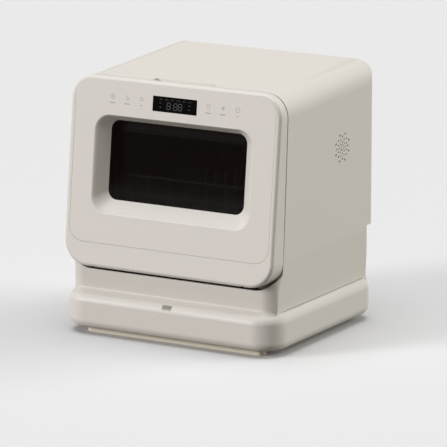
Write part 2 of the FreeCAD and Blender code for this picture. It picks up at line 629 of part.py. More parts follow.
def build_tub():
    front = "-seam_front - tub_overrun"
    outside = tub_block("tub_outside", "0", front, "tub_back + tub_wall")
    inside = tub_block("tub_inside", "tub_wall", f"{front} - 1", "tub_back")
    flange = in_seam_frame(slab("tub_flange_blank", "2 * (mouth_half + tub_flange)",
                                "mouth_top + mouth_bottom + 2 * tub_flange - flange_trim",
                                "mouth_corner + tub_flange",
                                "(mouth_top - mouth_bottom - flange_trim) / 2", "shell_wall",
                                "shell_wall + tub_flange_thick"))
    before_flange = in_seam_frame(slab("before_flange", "2 * cabinet_width", "2 * cabinet_width", "1", "0",
                                       "-base_depth", "shell_wall"))
    sump_hole = rod("sump_hole", "z", ("0", "-sump_front", "tub_floor - 2 * tub_wall"),
                    "filter_radius + filter_clearance", "4 * tub_wall")
    hub_hole = rod("hub_hole", "z", ("0", "hub_back", "tub_floor - 2 * tub_wall"), "hub_radius",
                   "4 * tub_wall")
    top_hole = rod("top_pipe_hole", "y", ("0", "tub_back - tub_wall", "tub_ceiling - top_pipe_drop"),
                   "riser_radius", "4 * tub_wall")
    fan_hole = rod("fan_port", "x", ("tub_half - tub_wall", "vent_back", "vent_height"), "fan_port_radius",
                   "4 * tub_wall")
    leg_holes = [rod(f"heater_hole_{end}", "z",
                     (f"{end} * heater_leg / 2", "heater_leg_back", "tub_floor - 2 * tub_wall"),
                     "heater_tube", "4 * tub_wall") for end in (-1, 1)]
    latch_notch = latch_block("latch_notch", "latch_room + latch_wall + seal_gap", "0", "4 * shell_wall")
    walls = cut("tub_walls", fuse("tub_blank", outside, flange), inside, before_flange, latch_notch)
    node("tub", cut("tub_form", walls, sump_hole, hub_hole, top_hole, fan_hole, *leg_holes))
    ring = slab("seal_blank", "2 * mouth_half", "mouth_top + mouth_bottom", "mouth_corner",
                "(mouth_top - mouth_bottom) / 2", "seal_gap - door_gap", "shell_wall")
    gap = slab("seal_gap_block", "2 * (mouth_half - seal_width)", "mouth_top + mouth_bottom - 2 * seal_width",
               "mouth_corner - seal_width", "(mouth_top - mouth_bottom) / 2", "-2 * door_gap",
               "2 * shell_wall")
    node("door_seal", in_seam_frame(cut("seal_form", ring, gap)))
    runners = []
    for side, sign in SIDES:
        edges = sorted((f"{sign} * tub_half", f"{sign} * (tub_half - runner_width)"), key=number)
        runners.append(box(side + "_runner_form", edges, ("-runner_front", "runner_rear"),
                           ("runner_low", "runner_low + runner_thick")))
    node("rack_runners", holder("runner_set", *runners))


def build_water():
    """Sump, filters, spray arms, pumps, heater and hoses."""
    sump_top = "tub_floor - tub_wall"
    at = ("0", "-sump_front")
    cup = rod("sump_cup", "z", (*at, "sump_low"), "sump_radius", f"{sump_top} - sump_low")
    lip = rod("sump_lip_ring", "z", (*at, f"{sump_top} - sump_lip_thick"), "sump_radius + sump_lip",
              "sump_lip_thick")
    room = rod("sump_room", "z", (*at, "sump_low + sump_wall"), "sump_radius - sump_wall", "tub_floor")
    suction_port = rod("suction_port", "z", ("-sump_radius / 2", "-sump_front", "sump_low - sump_wall"),
                       "hose_radius - hose_wall", "3 * sump_wall")
    drain_port = rod("drain_port", "x", ("-sump_radius - sump_wall", "-sump_front", "drain_height"),
                     "drain_radius / 2", "sump_radius / 2")
    node("sump", cut("sump_form", fuse("sump_blank", cup, lip), room, suction_port, drain_port))

    filter_low = "sump_low + sump_wall"
    filter_top = "tub_floor + filter_rise"
    strainer = rod("filter_wall_rod", "z", (*at, filter_low), "filter_radius",
                   f"{filter_top} - ({filter_low})")
    strainer_room = rod("filter_room", "z", (*at, f"{filter_low} + filter_wall"),
                        "filter_radius - filter_wall",
                        "tub_floor")
    grip = box("filter_grip_bar", ("-filter_radius + filter_wall", "filter_radius - filter_wall"),
               ("-sump_front - filter_grip_thick / 2", "-sump_front + filter_grip_thick / 2"),
               (f"{filter_top} - filter_grip_rise", filter_top))
    node("filter_basket", fuse("filter_form", cut("filter_cup", strainer, strainer_room), grip))
    sieve = box("sieve_plate", ("-filter_plate_half", "filter_plate_half"),
                ("-sump_front - filter_plate_deep + filter_plate_trim", "-sump_front + filter_plate_deep"),
                ("tub_floor", "tub_floor + filter_plate_thick"))
    sieve_hole = rod("sieve_hole", "z", (*at, "tub_floor - filter_plate_thick"),
                     "filter_radius + filter_clearance",
                     "4 * filter_plate_thick")
    node("filter_plate", cut("sieve_form", sieve, sieve_hole))

    hub = ("0", "hub_back")
    volute_top = "pump_height + volute_radius + port_rise"
    hub_top = "tub_floor + hub_rise"
    column = rod("hub_column", "z", (*hub, volute_top), "hub_radius", f"{hub_top} - ({volute_top})")
    collar = rod("hub_collar_ring", "z", (*hub, "tub_floor"), "hub_collar", "hub_collar_thick")
    duct = rod("hub_duct", "z", (*hub, "pump_height"), "hub_bore", "tub_floor")
    node("spray_hub", cut("hub_form", fuse("hub_blank", column, collar), duct))
    arm_low = "tub_floor + hub_collar_thick"
    node("lower_spray_arm",
         spray_arm("lower_arm", arm_low, f"{hub_top} - ({arm_low})", "arm_reach", "hub_radius"))
    node("spray_arm_cap", rod("arm_cap", "z", (*hub, hub_top), "arm_boss", "cap_thick"))

    pipe_z = "tub_ceiling - top_pipe_drop"
    run = rod("top_run", "y", ("0", "hub_back", pipe_z), "top_pipe_radius", "tub_back - hub_back")
    stub = rod("top_stub_rod", "z", ("0", "hub_back", f"{pipe_z} - top_stub"), "top_pipe_radius", "top_stub")
    hanger = box("top_hanger", ("-top_pipe_radius", "top_pipe_radius"),
                 ("hub_back - top_pipe_radius", "hub_back + top_pipe_radius"), (pipe_z, "tub_ceiling"))
    run_bore = rod("top_run_bore", "y", ("0", "hub_back", pipe_z), "riser_radius", "tub_back")
    node("upper_feed_pipe", cut("top_pipe_form", fuse("top_pipe_blank", run, stub, hanger), run_bore))
    top_arm_low = f"{pipe_z} - top_stub"
    node("upper_spray_arm",
         spray_arm("upper_arm", top_arm_low, "arm_tall", "top_arm_reach", "top_pipe_radius"))
    node("upper_arm_cap",
         rod("top_cap", "z", (*hub, f"{top_arm_low} - cap_thick"), "top_cap_radius", "cap_thick"))
    riser = tube("riser_form", [("0", "tub_back", pipe_z), ("0", "riser_back", pipe_z),
                                ("0", "riser_back", "pump_height"),
                                ("0", "hub_back + volute_radius + port_rise", "pump_height")],
                 "riser_radius", "thin_hose_wall", "riser_bend")
    node("riser_pipe", riser)

    pump_at = ("hub_back", "pump_height")
    casing = rod("volute_drum", "x", ("-volute_half", *pump_at), "volute_radius", "2 * volute_half")
    chamber = rod("volute_room", "x", ("volute_wall - volute_half", *pump_at), "volute_radius - volute_wall",
                  "2 * (volute_half - volute_wall)")
    eye = rod("volute_eye", "x", ("-2 * volute_half", *pump_at), "hose_radius - hose_wall", "2 * volute_half")
    shaft_hole = rod("volute_shaft_hole", "x", ("0", *pump_at), "shaft_radius", "2 * volute_half")
    outlet = rod("volute_outlet", "z", (*hub, "pump_height"), "hub_bore", "2 * volute_radius")
    side_outlet = rod("volute_side_outlet", "y", ("0", *pump_at), "riser_radius - thin_hose_wall",
                      "2 * volute_radius")
    flat = box("volute_flat", ("-volute_half", "volute_half"),
               ("hub_back - hub_radius - hub_flat_room", "hub_back + hub_radius + hub_flat_room"),
               ("pump_height", volute_top))
    side_flat = box("volute_side_flat", ("-volute_half", "volute_half"),
                    ("hub_back", "hub_back + volute_radius + port_rise"),
                    ("pump_height - side_port_half", "pump_height + side_port_half"))
    foot = box("pump_foot_block", ("-volute_half", "volute_half"),
               ("hub_back - pump_foot / 2", "hub_back + pump_foot / 2"),
               ("base_top", "pump_height - pump_foot_sink"))
    node("pump_volute", cut("volute_form", fuse("volute_blank", casing, flat, side_flat, foot), chamber, eye,
                            shaft_hole, outlet, side_outlet))
    can = rod("motor_can", "x", ("volute_half", *pump_at), "motor_radius", "motor_length")
    shaft = rod("motor_shaft", "x", ("-impeller_half", *pump_at), "shaft_radius",
                "volute_half + impeller_half")
    node("pump_motor", fuse("motor_form", can, shaft))
    node("pump_impeller",
         impeller("pump_wheel", "hub_back", "pump_height", "0", "impeller_radius", "impeller_half",
                  "shaft_radius"))
    saddle = box("motor_saddle",
                 ("volute_half + motor_length / 2", "volute_half + motor_length / 2 + saddle_length"),
                 ("hub_back - pump_foot / 2", "hub_back + pump_foot / 2"), ("base_top", "pump_height"))
    saddle_bore = rod("saddle_bore", "x", ("0", *pump_at), "motor_radius", "2 * motor_length")
    node("motor_mount", cut("saddle_form", saddle, saddle_bore))

    drain_far = "-sump_radius - drain_length"
    drain_axis = ("-sump_front", "drain_height")
    drum = rod("drain_drum", "x", (drain_far, *drain_axis), "drain_radius", "drain_length + drain_lap")
    drain_room = rod("drain_room", "x", (f"{drain_far} + drain_wall", *drain_axis),
                     "drain_radius - drain_wall",
                     "drain_length + drain_lap")
    drain_out = rod("drain_out", "z", (f"{drain_far} + drain_length / 2", *drain_axis),
                    "thin_hose_radius - thin_hose_wall",
                    "drain_radius * 2")
    drain_top = box("drain_top_flat", (drain_far, "-sump_radius + drain_flat_lap"),
                    ("-sump_front - side_port_half", "-sump_front + side_port_half"),
                    ("drain_height", "drain_height + drain_radius + port_rise"))
    drain_shaft_hole = rod("drain_shaft_hole", "x", (f"{drain_far} - 2 * drain_wall", *drain_axis),
                           "drain_shaft_radius",
                           "8 * drain_wall")
    sump_side = rod("sump_side", "z", (*at, "sump_low"), "sump_radius", "tub_floor")
    node("drain_pump", cut("drain_form", fuse("drain_blank", drum, drain_top), drain_room, drain_out,
                           drain_shaft_hole, sump_side))
    drain_can = rod("drain_can", "x", (f"{drain_far} - drain_motor_length", *drain_axis),
                    "drain_motor_radius",
                    "drain_motor_length")
    drain_shaft = rod("drain_shaft", "x", (drain_far, *drain_axis), "drain_shaft_radius",
                      "drain_shaft_length")
    node("drain_motor", fuse("drain_motor_form", drain_can, drain_shaft))
    node("drain_impeller", impeller("drain_wheel", "-sump_front", "drain_height",
                                    "-sump_radius - drain_length / 2", "drain_impeller_radius",
                                    "drain_impeller_half", "drain_shaft_radius"))

    ring = doc.addObject("Part::Torus", "heater_ring")
    bind(ring, "Radius1", "heater_radius")
    bind(ring, "Radius2", "heater_tube")
    bind(ring, "Placement.Base.y", "heater_back")
    bind(ring, "Placement.Base.z", "tub_floor + heater_lift + heater_tube")
    gap = box("heater_gap", ("-heater_leg / 2", "heater_leg / 2"), ("heater_back", "tub_back"),
              ("tub_floor", "tub_floor + 4 * heater_tube"))
    legs = [rod(f"heater_leg_{end}", "z",
                (f"{end} * heater_leg / 2", "heater_leg_back", "tub_floor - 5 * heater_tube"),
                "heater_tube", "heater_lift + 6 * heater_tube") for end in (-1, 1)]
    element = fuse("heater_form", cut("heater_arc", ring, gap), *legs)
    node("heater", element)
    clips = []
    for count, turn in enumerate((-50, 20, 160, 230)):
        clips.append(cut(f"heater_clip_{count}", turned_block(f"clip_block_{count}", turn), element))
    node("heater_clips", holder("heater_clip_set", *clips))
    build_hoses()


def turned_block(name, turn):
    """A small clip block that stands on the tub floor under the heater ring."""
    x, y = f"heater_radius * cos({turn})", f"heater_back + heater_radius * sin({turn})"
    return box(name, (f"{x} - clip_half", f"{x} + clip_half"), (f"{y} - clip_half", f"{y} + clip_half"),
               ("tub_floor", "tub_floor + heater_lift + heater_tube"))


def spray_arm(name, low, tall, reach, bore):
    """Two-bladed arm with a round boss that turns on a tube of the given radius."""
    arm = body(name + "_blade")
    pad(arm, rounded_rectangle(arm, name + "_outline", "XY", f"2 * {reach}", "arm_width", "arm_tip",
                               v="hub_back", offset=low), "arm_tall")
    boss = rod(name + "_boss", "z", ("0", "hub_back", low), "arm_boss", tall)
    hole = rod(name + "_bore", "z", ("0", "hub_back", f"{low} - arm_tall"), f"{bore} + running_gap",
               "4 * arm_tall")
    nozzles = []
    for count in range(1, 5):
        for sign in (-1, 1):
            x = f"{sign} * {reach} * (nozzle_first + nozzle_pitch * {count})"
            nozzles.append(rod(f"{name}_jet_{count}_{sign + 1}", "z",
                               (x, f"hub_back + {sign} * arm_width / 5", f"{low} + arm_tall / 2"),
                               "nozzle_radius", "arm_tall"))
    return cut(name, fuse(name + "_blank", arm, boss), hole, *nozzles)


def impeller(name, y, z, middle, radius, half, shaft):
    """Disc with straight vanes on a hub that turns on a shaft along X."""
    disc = rod(name + "_disc", "x", (f"{middle} + {half} - wheel_disc", y, z), radius, "wheel_disc")
    hub = rod(name + "_hub", "x", (f"{middle} - {half}", y, z), f"{shaft} + wheel_hub_wall", f"2 * {half}")
    vanes = []
    vane_count = 6
    for count in range(vane_count):
        vane = box(f"{name}_vane_{count}", (f"-({half})", half), ("0", radius),
                   ("-vane_thick / 2", "vane_thick / 2"))
        turned = holder(f"{name}_vane_turned_{count}", vane)
        turned.Placement = Placement(Vector(), Rotation(Vector(1, 0, 0), 360 / vane_count * count))
        bind(turned, "Placement.Base.x", middle)
        bind(turned, "Placement.Base.y", y)
        bind(turned, "Placement.Base.z", z)
        vanes.append(turned)
    limit = rod(name + "_limit", "x", (f"{middle} - {half}", y, z), radius, f"2 * {half}")
    bore = rod(name + "_bore", "x", (f"{middle} - 4 * {half}", y, z), f"{shaft} + running_gap", f"8 * {half}")
    return cut(name, common(name + "_blank", fuse(name + "_wheel", disc, hub, *vanes), limit), bore)


def build_hoses():
    """The hoses that join sump, pumps, inlet valve and outlet."""
    low = "pump_height - suction_drop"
    node("suction_hose", tube("suction_form", [("-sump_radius / 2", "-sump_front", "sump_low"),
                                               ("-sump_radius / 2", "-sump_front", low),
                                               ("-volute_half - suction_room", "hub_back", low),
                                               ("-volute_half - suction_room", "hub_back", "pump_height"),
                                               ("-volute_half", "hub_back", "pump_height")],
                              "hose_radius", "hose_wall", "hose_bend"))
    drain_x = "-sump_radius - drain_length / 2"
    high = "tub_floor - tub_wall - thin_hose_radius - hose_room"
    node("drain_hose",
         tube("drain_hose_form", [(drain_x, "-sump_front", "drain_height + drain_radius + port_rise"),
                                                (drain_x, "-sump_front", high),
                                                ("-outlet_side", "-sump_front", high),
                                                ("-outlet_side", "service_front - outlet_room", high),
                                                ("-outlet_side", "service_front - outlet_room",
                                                 "service_height"),
                                                ("-outlet_side", "service_front - outlet_tail",
                                                 "service_height")],
                            "thin_hose_radius", "thin_hose_wall", "thin_hose_bend"))
    valve_y = "service_front - valve_deep / 2"
    filler = tube("inlet_hose_run", [("-inlet_side", valve_y, "service_height + valve_wide / 2"),
                                     ("-inlet_side", valve_y, high),
                                     ("-sump_radius / 2", "-sump_front + 2 * sump_radius", high),
                                     ("-sump_radius / 2", "-sump_front", high)],
                  "thin_hose_radius", "thin_hose_wall", "thin_hose_bend")
    sump_bulk = rod("sump_bulk", "z", ("0", "-sump_front", "0"), "sump_radius", "tub_floor")
    node("inlet_hose", cut("inlet_hose_form", filler, sump_bulk))


# Rear connections


def build_service():
    """The plate in the lower rear wall, with the water and mains connections that it carries."""
    front, back = "service_front", "service_front + service_thick"
    plate = box("service_blank", ("-service_half - service_lap", "service_half + service_lap"), (front, back),
                ("service_low - service_lap", "service_high + service_lap"))
    inlet = ("-inlet_side", front, "service_height")
    outlet = ("-outlet_side", front, "service_height")
    inlet_hole = rod("inlet_hole", "y", inlet, "inlet_thread_radius + neck_room", "2 * service_thick")
    outlet_hole = rod("outlet_hole", "y", outlet, "outlet_radius + neck_room", "2 * service_thick")
    socket_x = ("mains_side - mains_wide / 2", "mains_side + mains_wide / 2")
    socket_z = ("service_height - mains_tall / 2", "service_height + mains_tall / 2")
    mains_hole = box("mains_hole", socket_x, (front, f"{back} + 1"), socket_z)
    node("service_panel", cut("service_form", plate, inlet_hole, outlet_hole, mains_hole))

    block = box("valve_block", ("-inlet_side - valve_wide / 2", "-inlet_side + valve_wide / 2"),
                (f"{front} - valve_deep", front),
                ("service_height - valve_wide / 2", "service_height + valve_wide / 2"))
    # Each connection has a thinner neck in the wall, and its full radius only outside.
    outside = f"{back} + shell_wall"
    through = "service_thick + shell_wall"
    inlet_mouth = ("-inlet_side", outside, "service_height")
    inlet_neck = rod("inlet_neck", "y", inlet, "inlet_thread_radius - neck_relief", through)
    thread = rod("inlet_thread", "y", inlet_mouth, "inlet_thread_radius", "spigot_reach")
    bore = rod("inlet_thread_bore", "y", inlet_mouth, "inlet_bore", "2 * spigot_reach")
    node("inlet_valve", cut("valve_form", fuse("valve_blank", block, inlet_neck, thread), bore))

    tail = rod("outlet_neck", "y", ("-outlet_side", f"{front} - outlet_tail", "service_height"),
               "outlet_radius - neck_relief", f"outlet_tail + {through}")
    spigot = rod("outlet_pipe", "y", ("-outlet_side", outside, "service_height"), "outlet_radius",
                 "spigot_reach")
    collar = rod("outlet_collar_ring", "y", ("-outlet_side", f"{front} - service_thick", "service_height"),
                 "outlet_collar", "service_thick")
    outlet_bore = rod("outlet_pipe_bore", "y",
                      ("-outlet_side", f"{front} - 2 * outlet_tail", "service_height"),
                      "outlet_bore", "4 * outlet_tail + 4 * spigot_reach")
    node("drain_outlet", cut("outlet_form", fuse("outlet_blank", tail, spigot, collar), outlet_bore))

    case = box("mains_case", socket_x, (f"{back} - mains_deep", back), socket_z)
    rim = box("mains_rim", (f"{socket_x[0]} - mains_wall", f"{socket_x[1]} + mains_wall"),
              (back, f"{back} + shell_wall"), (f"{socket_z[0]} - mains_wall", f"{socket_z[1]} + mains_wall"))
    well = box("mains_well", (f"{socket_x[0]} + mains_wall", f"{socket_x[1]} - mains_wall"),
               (f"{back} - mains_socket", f"{back} + 2 * shell_wall"),
               (f"{socket_z[0]} + mains_wall", f"{socket_z[1]} - mains_wall"))
    node("mains_inlet", cut("mains_form", fuse("mains_blank", case, rim), well))


# Drying fan and controls


def build_fan():
    """Fan between the tub's side wall and the vent holes in the cabinet."""
    near = "tub_half + tub_wall"
    far = f"{near} + fan_deep"
    span_y = ("vent_back - fan_half", "vent_back + fan_half")
    span_z = ("vent_height - fan_half", "vent_height + fan_half")
    axis = ("vent_back", "vent_height")
    frame = cut("fan_frame", box("fan_block", (near, far), span_y, span_z),
                rod("fan_bore_rod", "x", (f"{near} - 1", *axis), "fan_bore", "2 * fan_deep"))
    web = (near, f"{near} + fan_web")
    spokes = [box("fan_web_flat", web, span_y, ("vent_height - fan_web", "vent_height + fan_web")),
              box("fan_web_tall", web, ("vent_back - fan_web", "vent_back + fan_web"), span_z)]
    seat = rod("fan_seat", "x", (near, *axis), "fan_hub", "fan_web")
    pin = rod("fan_pin_rod", "x", (near, *axis), "fan_pin", "fan_pin_length")
    node("fan_housing", fuse("fan_form", frame, seat, pin, *spokes))
    node("fan_impeller",
         impeller("fan_wheel", *axis, f"({near} + fan_web + fan_blade_half + fan_end_gap)", "fan_radius",
                                  "fan_blade_half", "fan_pin"))
    ring = rod("duct_ring", "x", (far, *axis), "fan_half",
               "cabinet_width / 2 - shell_wall - fan_deep - tub_half - tub_wall")
    node("vent_duct",
         cut("duct_form", ring, rod("duct_bore", "x", (f"{far} - 1", *axis), "fan_bore", "fan_deep")))


def build_controls():
    """Tray on the plinth with the main circuit board."""
    x, y = ("box_low_x", "box_high_x"), ("box_low_y", "box_high_y")
    tray = box("tray_block", x, y, ("base_top", "base_top + box_tall"))
    room = box("tray_room", (f"{x[0]} + box_wall", f"{x[1]} - box_wall"),
               (f"{y[0]} + box_wall", f"{y[1]} - box_wall"),
               ("base_top + box_wall", "base_top + 2 * box_tall"))
    posts = []
    for x_edge, x_inward in zip(x, (1, -1)):
        for y_edge, y_inward in zip(y, (1, -1)):
            at = (f"{x_edge} + {x_inward} * tray_post_inset", f"{y_edge} + {y_inward} * tray_post_inset",
                  "base_top")
            posts.append(rod(f"tray_post_{len(posts)}", "z", at, "tray_post_radius",
                             "box_wall + control_lift"))
    node("control_tray", fuse("tray_form", cut("tray_shell", tray, room), *posts))
    board_z = "base_top + box_wall + control_lift"
    sheet_of_board = box("control_sheet", (f"{x[0]} + 2 * box_wall", f"{x[1]} - 2 * box_wall"),
                         (f"{y[0]} + 2 * box_wall", f"{y[1]} - 2 * box_wall"),
                         (board_z, f"{board_z} + board_thick"))
    top = f"{board_z} + board_thick"
    relays = []
    for count in range(3):
        start = f"box_low_x + relay_first + {count} * relay_pitch"
        relays.append(box(f"relay_{count}", (start, f"{start} + relay_wide"),
                          ("box_low_y + relay_back", "box_low_y + relay_back + relay_deep"),
                          (top, f"{top} + relay_tall")))
    cans = [rod(f"capacitor_{count}", "z",
                (f"box_low_x + can_first + {count} * can_pitch", "box_low_y + can_back", top),
                "can_radius", "can_tall") for count in range(2)]
    coil = box("transformer", ("box_low_x + coil_first", "box_low_x + coil_first + coil_wide"),
               ("box_low_y + coil_back", "box_low_y + coil_back + coil_deep"), (top, f"{top} + coil_tall"))
    node("control_board", fuse("control_form", sheet_of_board, coil, *relays, *cans))


# Door


def panel_outline(name, grow, near, far):
    """Block with the decor panel's outline, in the face frame."""
    return slab(name, f"2 * (panel_half + {grow})", f"panel_rise + panel_drop + 2 * {grow}",
                f"panel_corner + {grow}",
                "(panel_rise - panel_drop) / 2", near, far)


def build_door():
    shell = body("door_shell")
    middle = "(door_rise - door_drop) / 2"
    deep = "base_depth / 4"
    outline = rounded_rectangle(shell, "door_outline", "XZ", "door_width", "door_rise + door_drop",
                                "door_corner",
                                v=middle, low_radius="door_low_corner")
    pad(shell, outline, deep, backwards=True)
    round_edges(shell, "door_edge_round", lambda point: abs(point.y) < 0.01)
    hollow = rounded_rectangle(shell, "door_hollow", "XZ", "door_width - 2 * door_wall",
                               "door_rise + door_drop - 2 * door_wall", "door_corner - door_wall", v=middle,
                               offset="-door_front_wall", low_radius="door_low_corner - door_wall")
    pocket(shell, hollow, deep)
    seat = rounded_rectangle(shell, "panel_seat", "XZ", "2 * (panel_half + panel_gap)",
                             "panel_rise + panel_drop + 2 * panel_gap", "panel_corner + panel_gap",
                             v="(panel_rise - panel_drop) / 2")
    pocket(shell, seat, "panel_thick")
    window = rounded_rectangle(shell, "frame_window", "XZ", "2 * (recess_half + funnel_wall)",
                               "recess_drop - recess_rise + 2 * funnel_wall", "recess_corner + funnel_wall",
                               v="-(recess_rise + recess_drop) / 2")
    pocket(shell, window, "2 * door_front_wall")
    display = rounded_rectangle(shell, "frame_display", "XZ", "display_width - 2 * display_ledge",
                                "display_tall - 2 * display_ledge",
                                "display_corner")
    pocket(shell, display, "2 * door_front_wall")
    in_face_frame(shell)

    inside = in_face_frame(slab("door_inside", "door_width - 2 * door_wall",
                                "door_rise + door_drop - 2 * door_wall",
                                "door_corner - door_wall", middle, "door_front_wall", deep,
                                low_corner="door_low_corner - door_wall"))
    behind_seam = in_seam_frame(slab("behind_seam", "2 * cabinet_width", "2 * cabinet_width", "1", "0",
                                     "-door_gap",
                                     "base_depth"))
    pivot = ("hinge_in", "-(door_drop - hinge_up)")
    reach = "arm_thick / 2 + arm_gap + boss_length"
    bosses = [rod(f"{side}_hinge_boss", "x", (f"{sign} * hinge_side - ({reach})", *pivot), "boss_radius",
                  f"2 * ({reach})") for side, sign in SIDES]
    bores = [rod(f"{side}_hinge_bore", "x", (f"{sign} * hinge_side - 2 * ({reach})", *pivot),
                 "pin_radius + pin_clearance", f"4 * ({reach})") for side, sign in SIDES]
    half_slot = "(arm_thick / 2 + arm_gap)"
    slots = [box(f"{side}_hinge_slot",
                 (f"{sign} * hinge_side - {half_slot}", f"{sign} * hinge_side + {half_slot}"),
                 ("hinge_in - arm_radius - 2 * slot_room", deep),
                 ("-door_drop - door_wall", "-door_drop + hinge_up + arm_radius + slot_rise")) for side,
             sign in SIDES]
    bored = holder("door_slots", *slots)
    in_face_frame(bored)
    pivots = in_face_frame(holder("door_bosses", *bosses))
    pivot_bores = in_face_frame(holder("door_bores", *bores))
    posts, screws = door_fasteners()
    node("door_frame",
         cut("frame_form", fuse("frame_blank", shell, pivots, common("posts_inside", posts, inside)),
                           behind_seam, bored, pivot_bores))
    build_front_panel()
    build_liner(inside, bored)
    node("door_screws", in_seam_frame(holder("door_screw_set", *screws)))


def door_screw_spots():
    """Places of the door's screws along its two sides, in the seam frame."""
    x = "(door_width / 2 - door_wall - post_radius)"
    return [(f"{sign} * {x}", f"-mouth_bottom * {share}") for side,
            sign in SIDES for share in (0.15, 0.5, 0.85)]


def door_fasteners():
    """Posts inside the door, and the screws that hold the liner to them, in the seam frame."""
    posts = []
    screws = []
    for count, (x, z) in enumerate(door_screw_spots()):
        back = "-door_gap - liner_thick"
        posts.append(rod(f"door_post_{count}", "y", (x, "-seam_front / 2", z), "post_radius",
                         f"seam_front / 2 + {back}"))
        head = rod(f"door_head_{count}", "y", (x, "-door_gap", z), "cover_screw_head",
                   "door_screw_head_thick")
        shank = rod(f"door_shank_{count}", "y", (x, back, z), "cover_screw_radius", "liner_thick")
        screws.append(fuse(f"door_screw_{count}", head, shank))
    return in_seam_frame(holder("door_posts", *posts)), screws


def build_front_panel():
    """Decor panel with the funnel round the window, its two glasses and the display."""
    panel = panel_outline("panel_blank", "0", "0", "panel_thick")
    tall = ("recess_drop - recess_rise", "glass_drop - glass_rise")
    middle = ("-(recess_rise + recess_drop) / 2", "-(glass_rise + glass_drop) / 2")
    for kind, grow, near, far in (("AdditiveLoft", "funnel_wall", "0", "funnel_depth"),
                                  ("SubtractiveLoft", "0", "0", "funnel_depth")):
        name = "funnel_" + ("wall" if kind == "AdditiveLoft" else "room")
        mouth = rounded_rectangle(panel, name + "_mouth", "XZ", f"2 * (recess_half + {grow})",
                                  f"{tall[0]} + 2 * {grow}",
                                  f"recess_corner + {grow}", v=middle[0], offset=f"-({near})")
        throat = rounded_rectangle(panel, name + "_throat", "XZ", f"2 * (glass_half + {grow})",
                                   f"{tall[1]} + 2 * {grow}", f"glass_corner + {grow}", v=middle[1],
                                   offset=f"-({far})")
        loft(panel, kind, mouth, throat)
        doc.recompute()
    display_hole = rounded_rectangle(panel, "display_hole", "XZ", "display_width", "display_tall",
                                     "display_corner")
    pocket(panel, display_hole, "2 * panel_thick")
    node("front_panel", in_face_frame(panel))
    glass_half = "glass_half + glass_lap"
    node("window_glass", in_face_frame(slab("glass_form", f"2 * ({glass_half})", f"{tall[1]} + 2 * glass_lap",
                                            "glass_corner + glass_lap", middle[1], "funnel_depth",
                                            "funnel_depth + glass_thick")))
    node("display_window",
         in_face_frame(slab("display_form", "display_width", "display_tall", "display_corner", "0",
                                              "0", "panel_thick")))
    node("touch_board",
         in_face_frame(slab("touch_board_form", "board_width", "board_tall", "display_corner", "0",
                                           "door_front_wall", "door_front_wall + board_thick")))


def build_liner(inside, slots):
    """Inner door panel: a rim inside the door frame and a raised tray that enters the tub's mouth."""
    back = "-door_gap"
    sheet_in_seam = in_seam_frame(slab("liner_sheet", "2 * cabinet_width", "2 * cabinet_width", "1", "0",
                                       f"{back} - liner_thick", back))
    rim = common("liner_rim", sheet_in_seam, inside)
    boss = ("2 * (mouth_half - liner_boss_inset)", "mouth_top + mouth_bottom - 2 * liner_boss_inset")
    centre = "(mouth_top - mouth_bottom) / 2"
    tray = in_seam_frame(slab("liner_tray", *boss, "liner_boss_corner", centre, f"{back} - liner_thick",
                              "liner_boss_depth"))
    room = in_seam_frame(slab("liner_room", f"{boss[0]} - 2 * liner_thick", f"{boss[1]} - 2 * liner_thick",
                              "liner_boss_corner - liner_thick", centre, "-base_depth / 4",
                              "liner_boss_depth - liner_thick"))
    pane_tall = "inner_pane_bottom - inner_pane_top"
    pane_middle = "-(inner_pane_bottom + inner_pane_top) / 2"
    opening = in_seam_frame(slab("liner_window", "2 * inner_pane_half", pane_tall, "inner_pane_corner",
                                 pane_middle,
                                 "-base_depth / 4", "2 * liner_boss_depth"))
    cup_middle = "-(inner_pane_bottom + mouth_bottom - liner_boss_inset) / 2 - inner_pane_lap / 2"
    cup_hole = in_seam_frame(slab("cup_hole", "cup_width", "cup_tall", "cup_wall + 1", cup_middle, back,
                                  "2 * liner_boss_depth"))
    holes = in_seam_frame(holder("liner_screw_holes", *[
        rod(f"liner_hole_{count}", "y", (x, f"{back} - 2 * liner_thick", z), "cover_screw_radius",
            "4 * liner_thick")
        for count, (x, z) in enumerate(door_screw_spots())]))
    node("door_liner",
         cut("liner_form", fuse("liner_blank", rim, tray), room, opening, cup_hole, holes, slots))
    seat = "liner_boss_depth - liner_thick"
    node("inner_pane", in_seam_frame(slab("pane_form", "2 * (inner_pane_half + inner_pane_lap)",
                                          f"{pane_tall} + 2 * inner_pane_lap",
                                          "inner_pane_corner + inner_pane_lap",
                                          pane_middle, f"{seat} - inner_pane_thick", seat)))
    cup = slab("cup_block", "cup_width", "cup_tall", "cup_wall + 1", cup_middle,
               "liner_boss_depth - cup_depth",
               "liner_boss_depth")
    cup_room = slab("cup_room", "cup_width - 2 * cup_wall", "cup_tall - 2 * cup_wall", "1", cup_middle,
                    "liner_boss_depth - cup_depth + cup_wall", "2 * liner_boss_depth")
    node("detergent_cup", in_seam_frame(cut("cup_form", cup, cup_room)))
    node("latch_tongue", latch_block("tongue_form", "0", back, "tongue_reach"))
    case = latch_block("latch_case", "latch_room + latch_wall", "shell_wall",
                       "tongue_reach + latch_room + latch_wall")
    case_room = latch_block("latch_case_room", "latch_room", "0", "tongue_reach + latch_room")
    node("latch_housing", cut("latch_form", case, case_room))


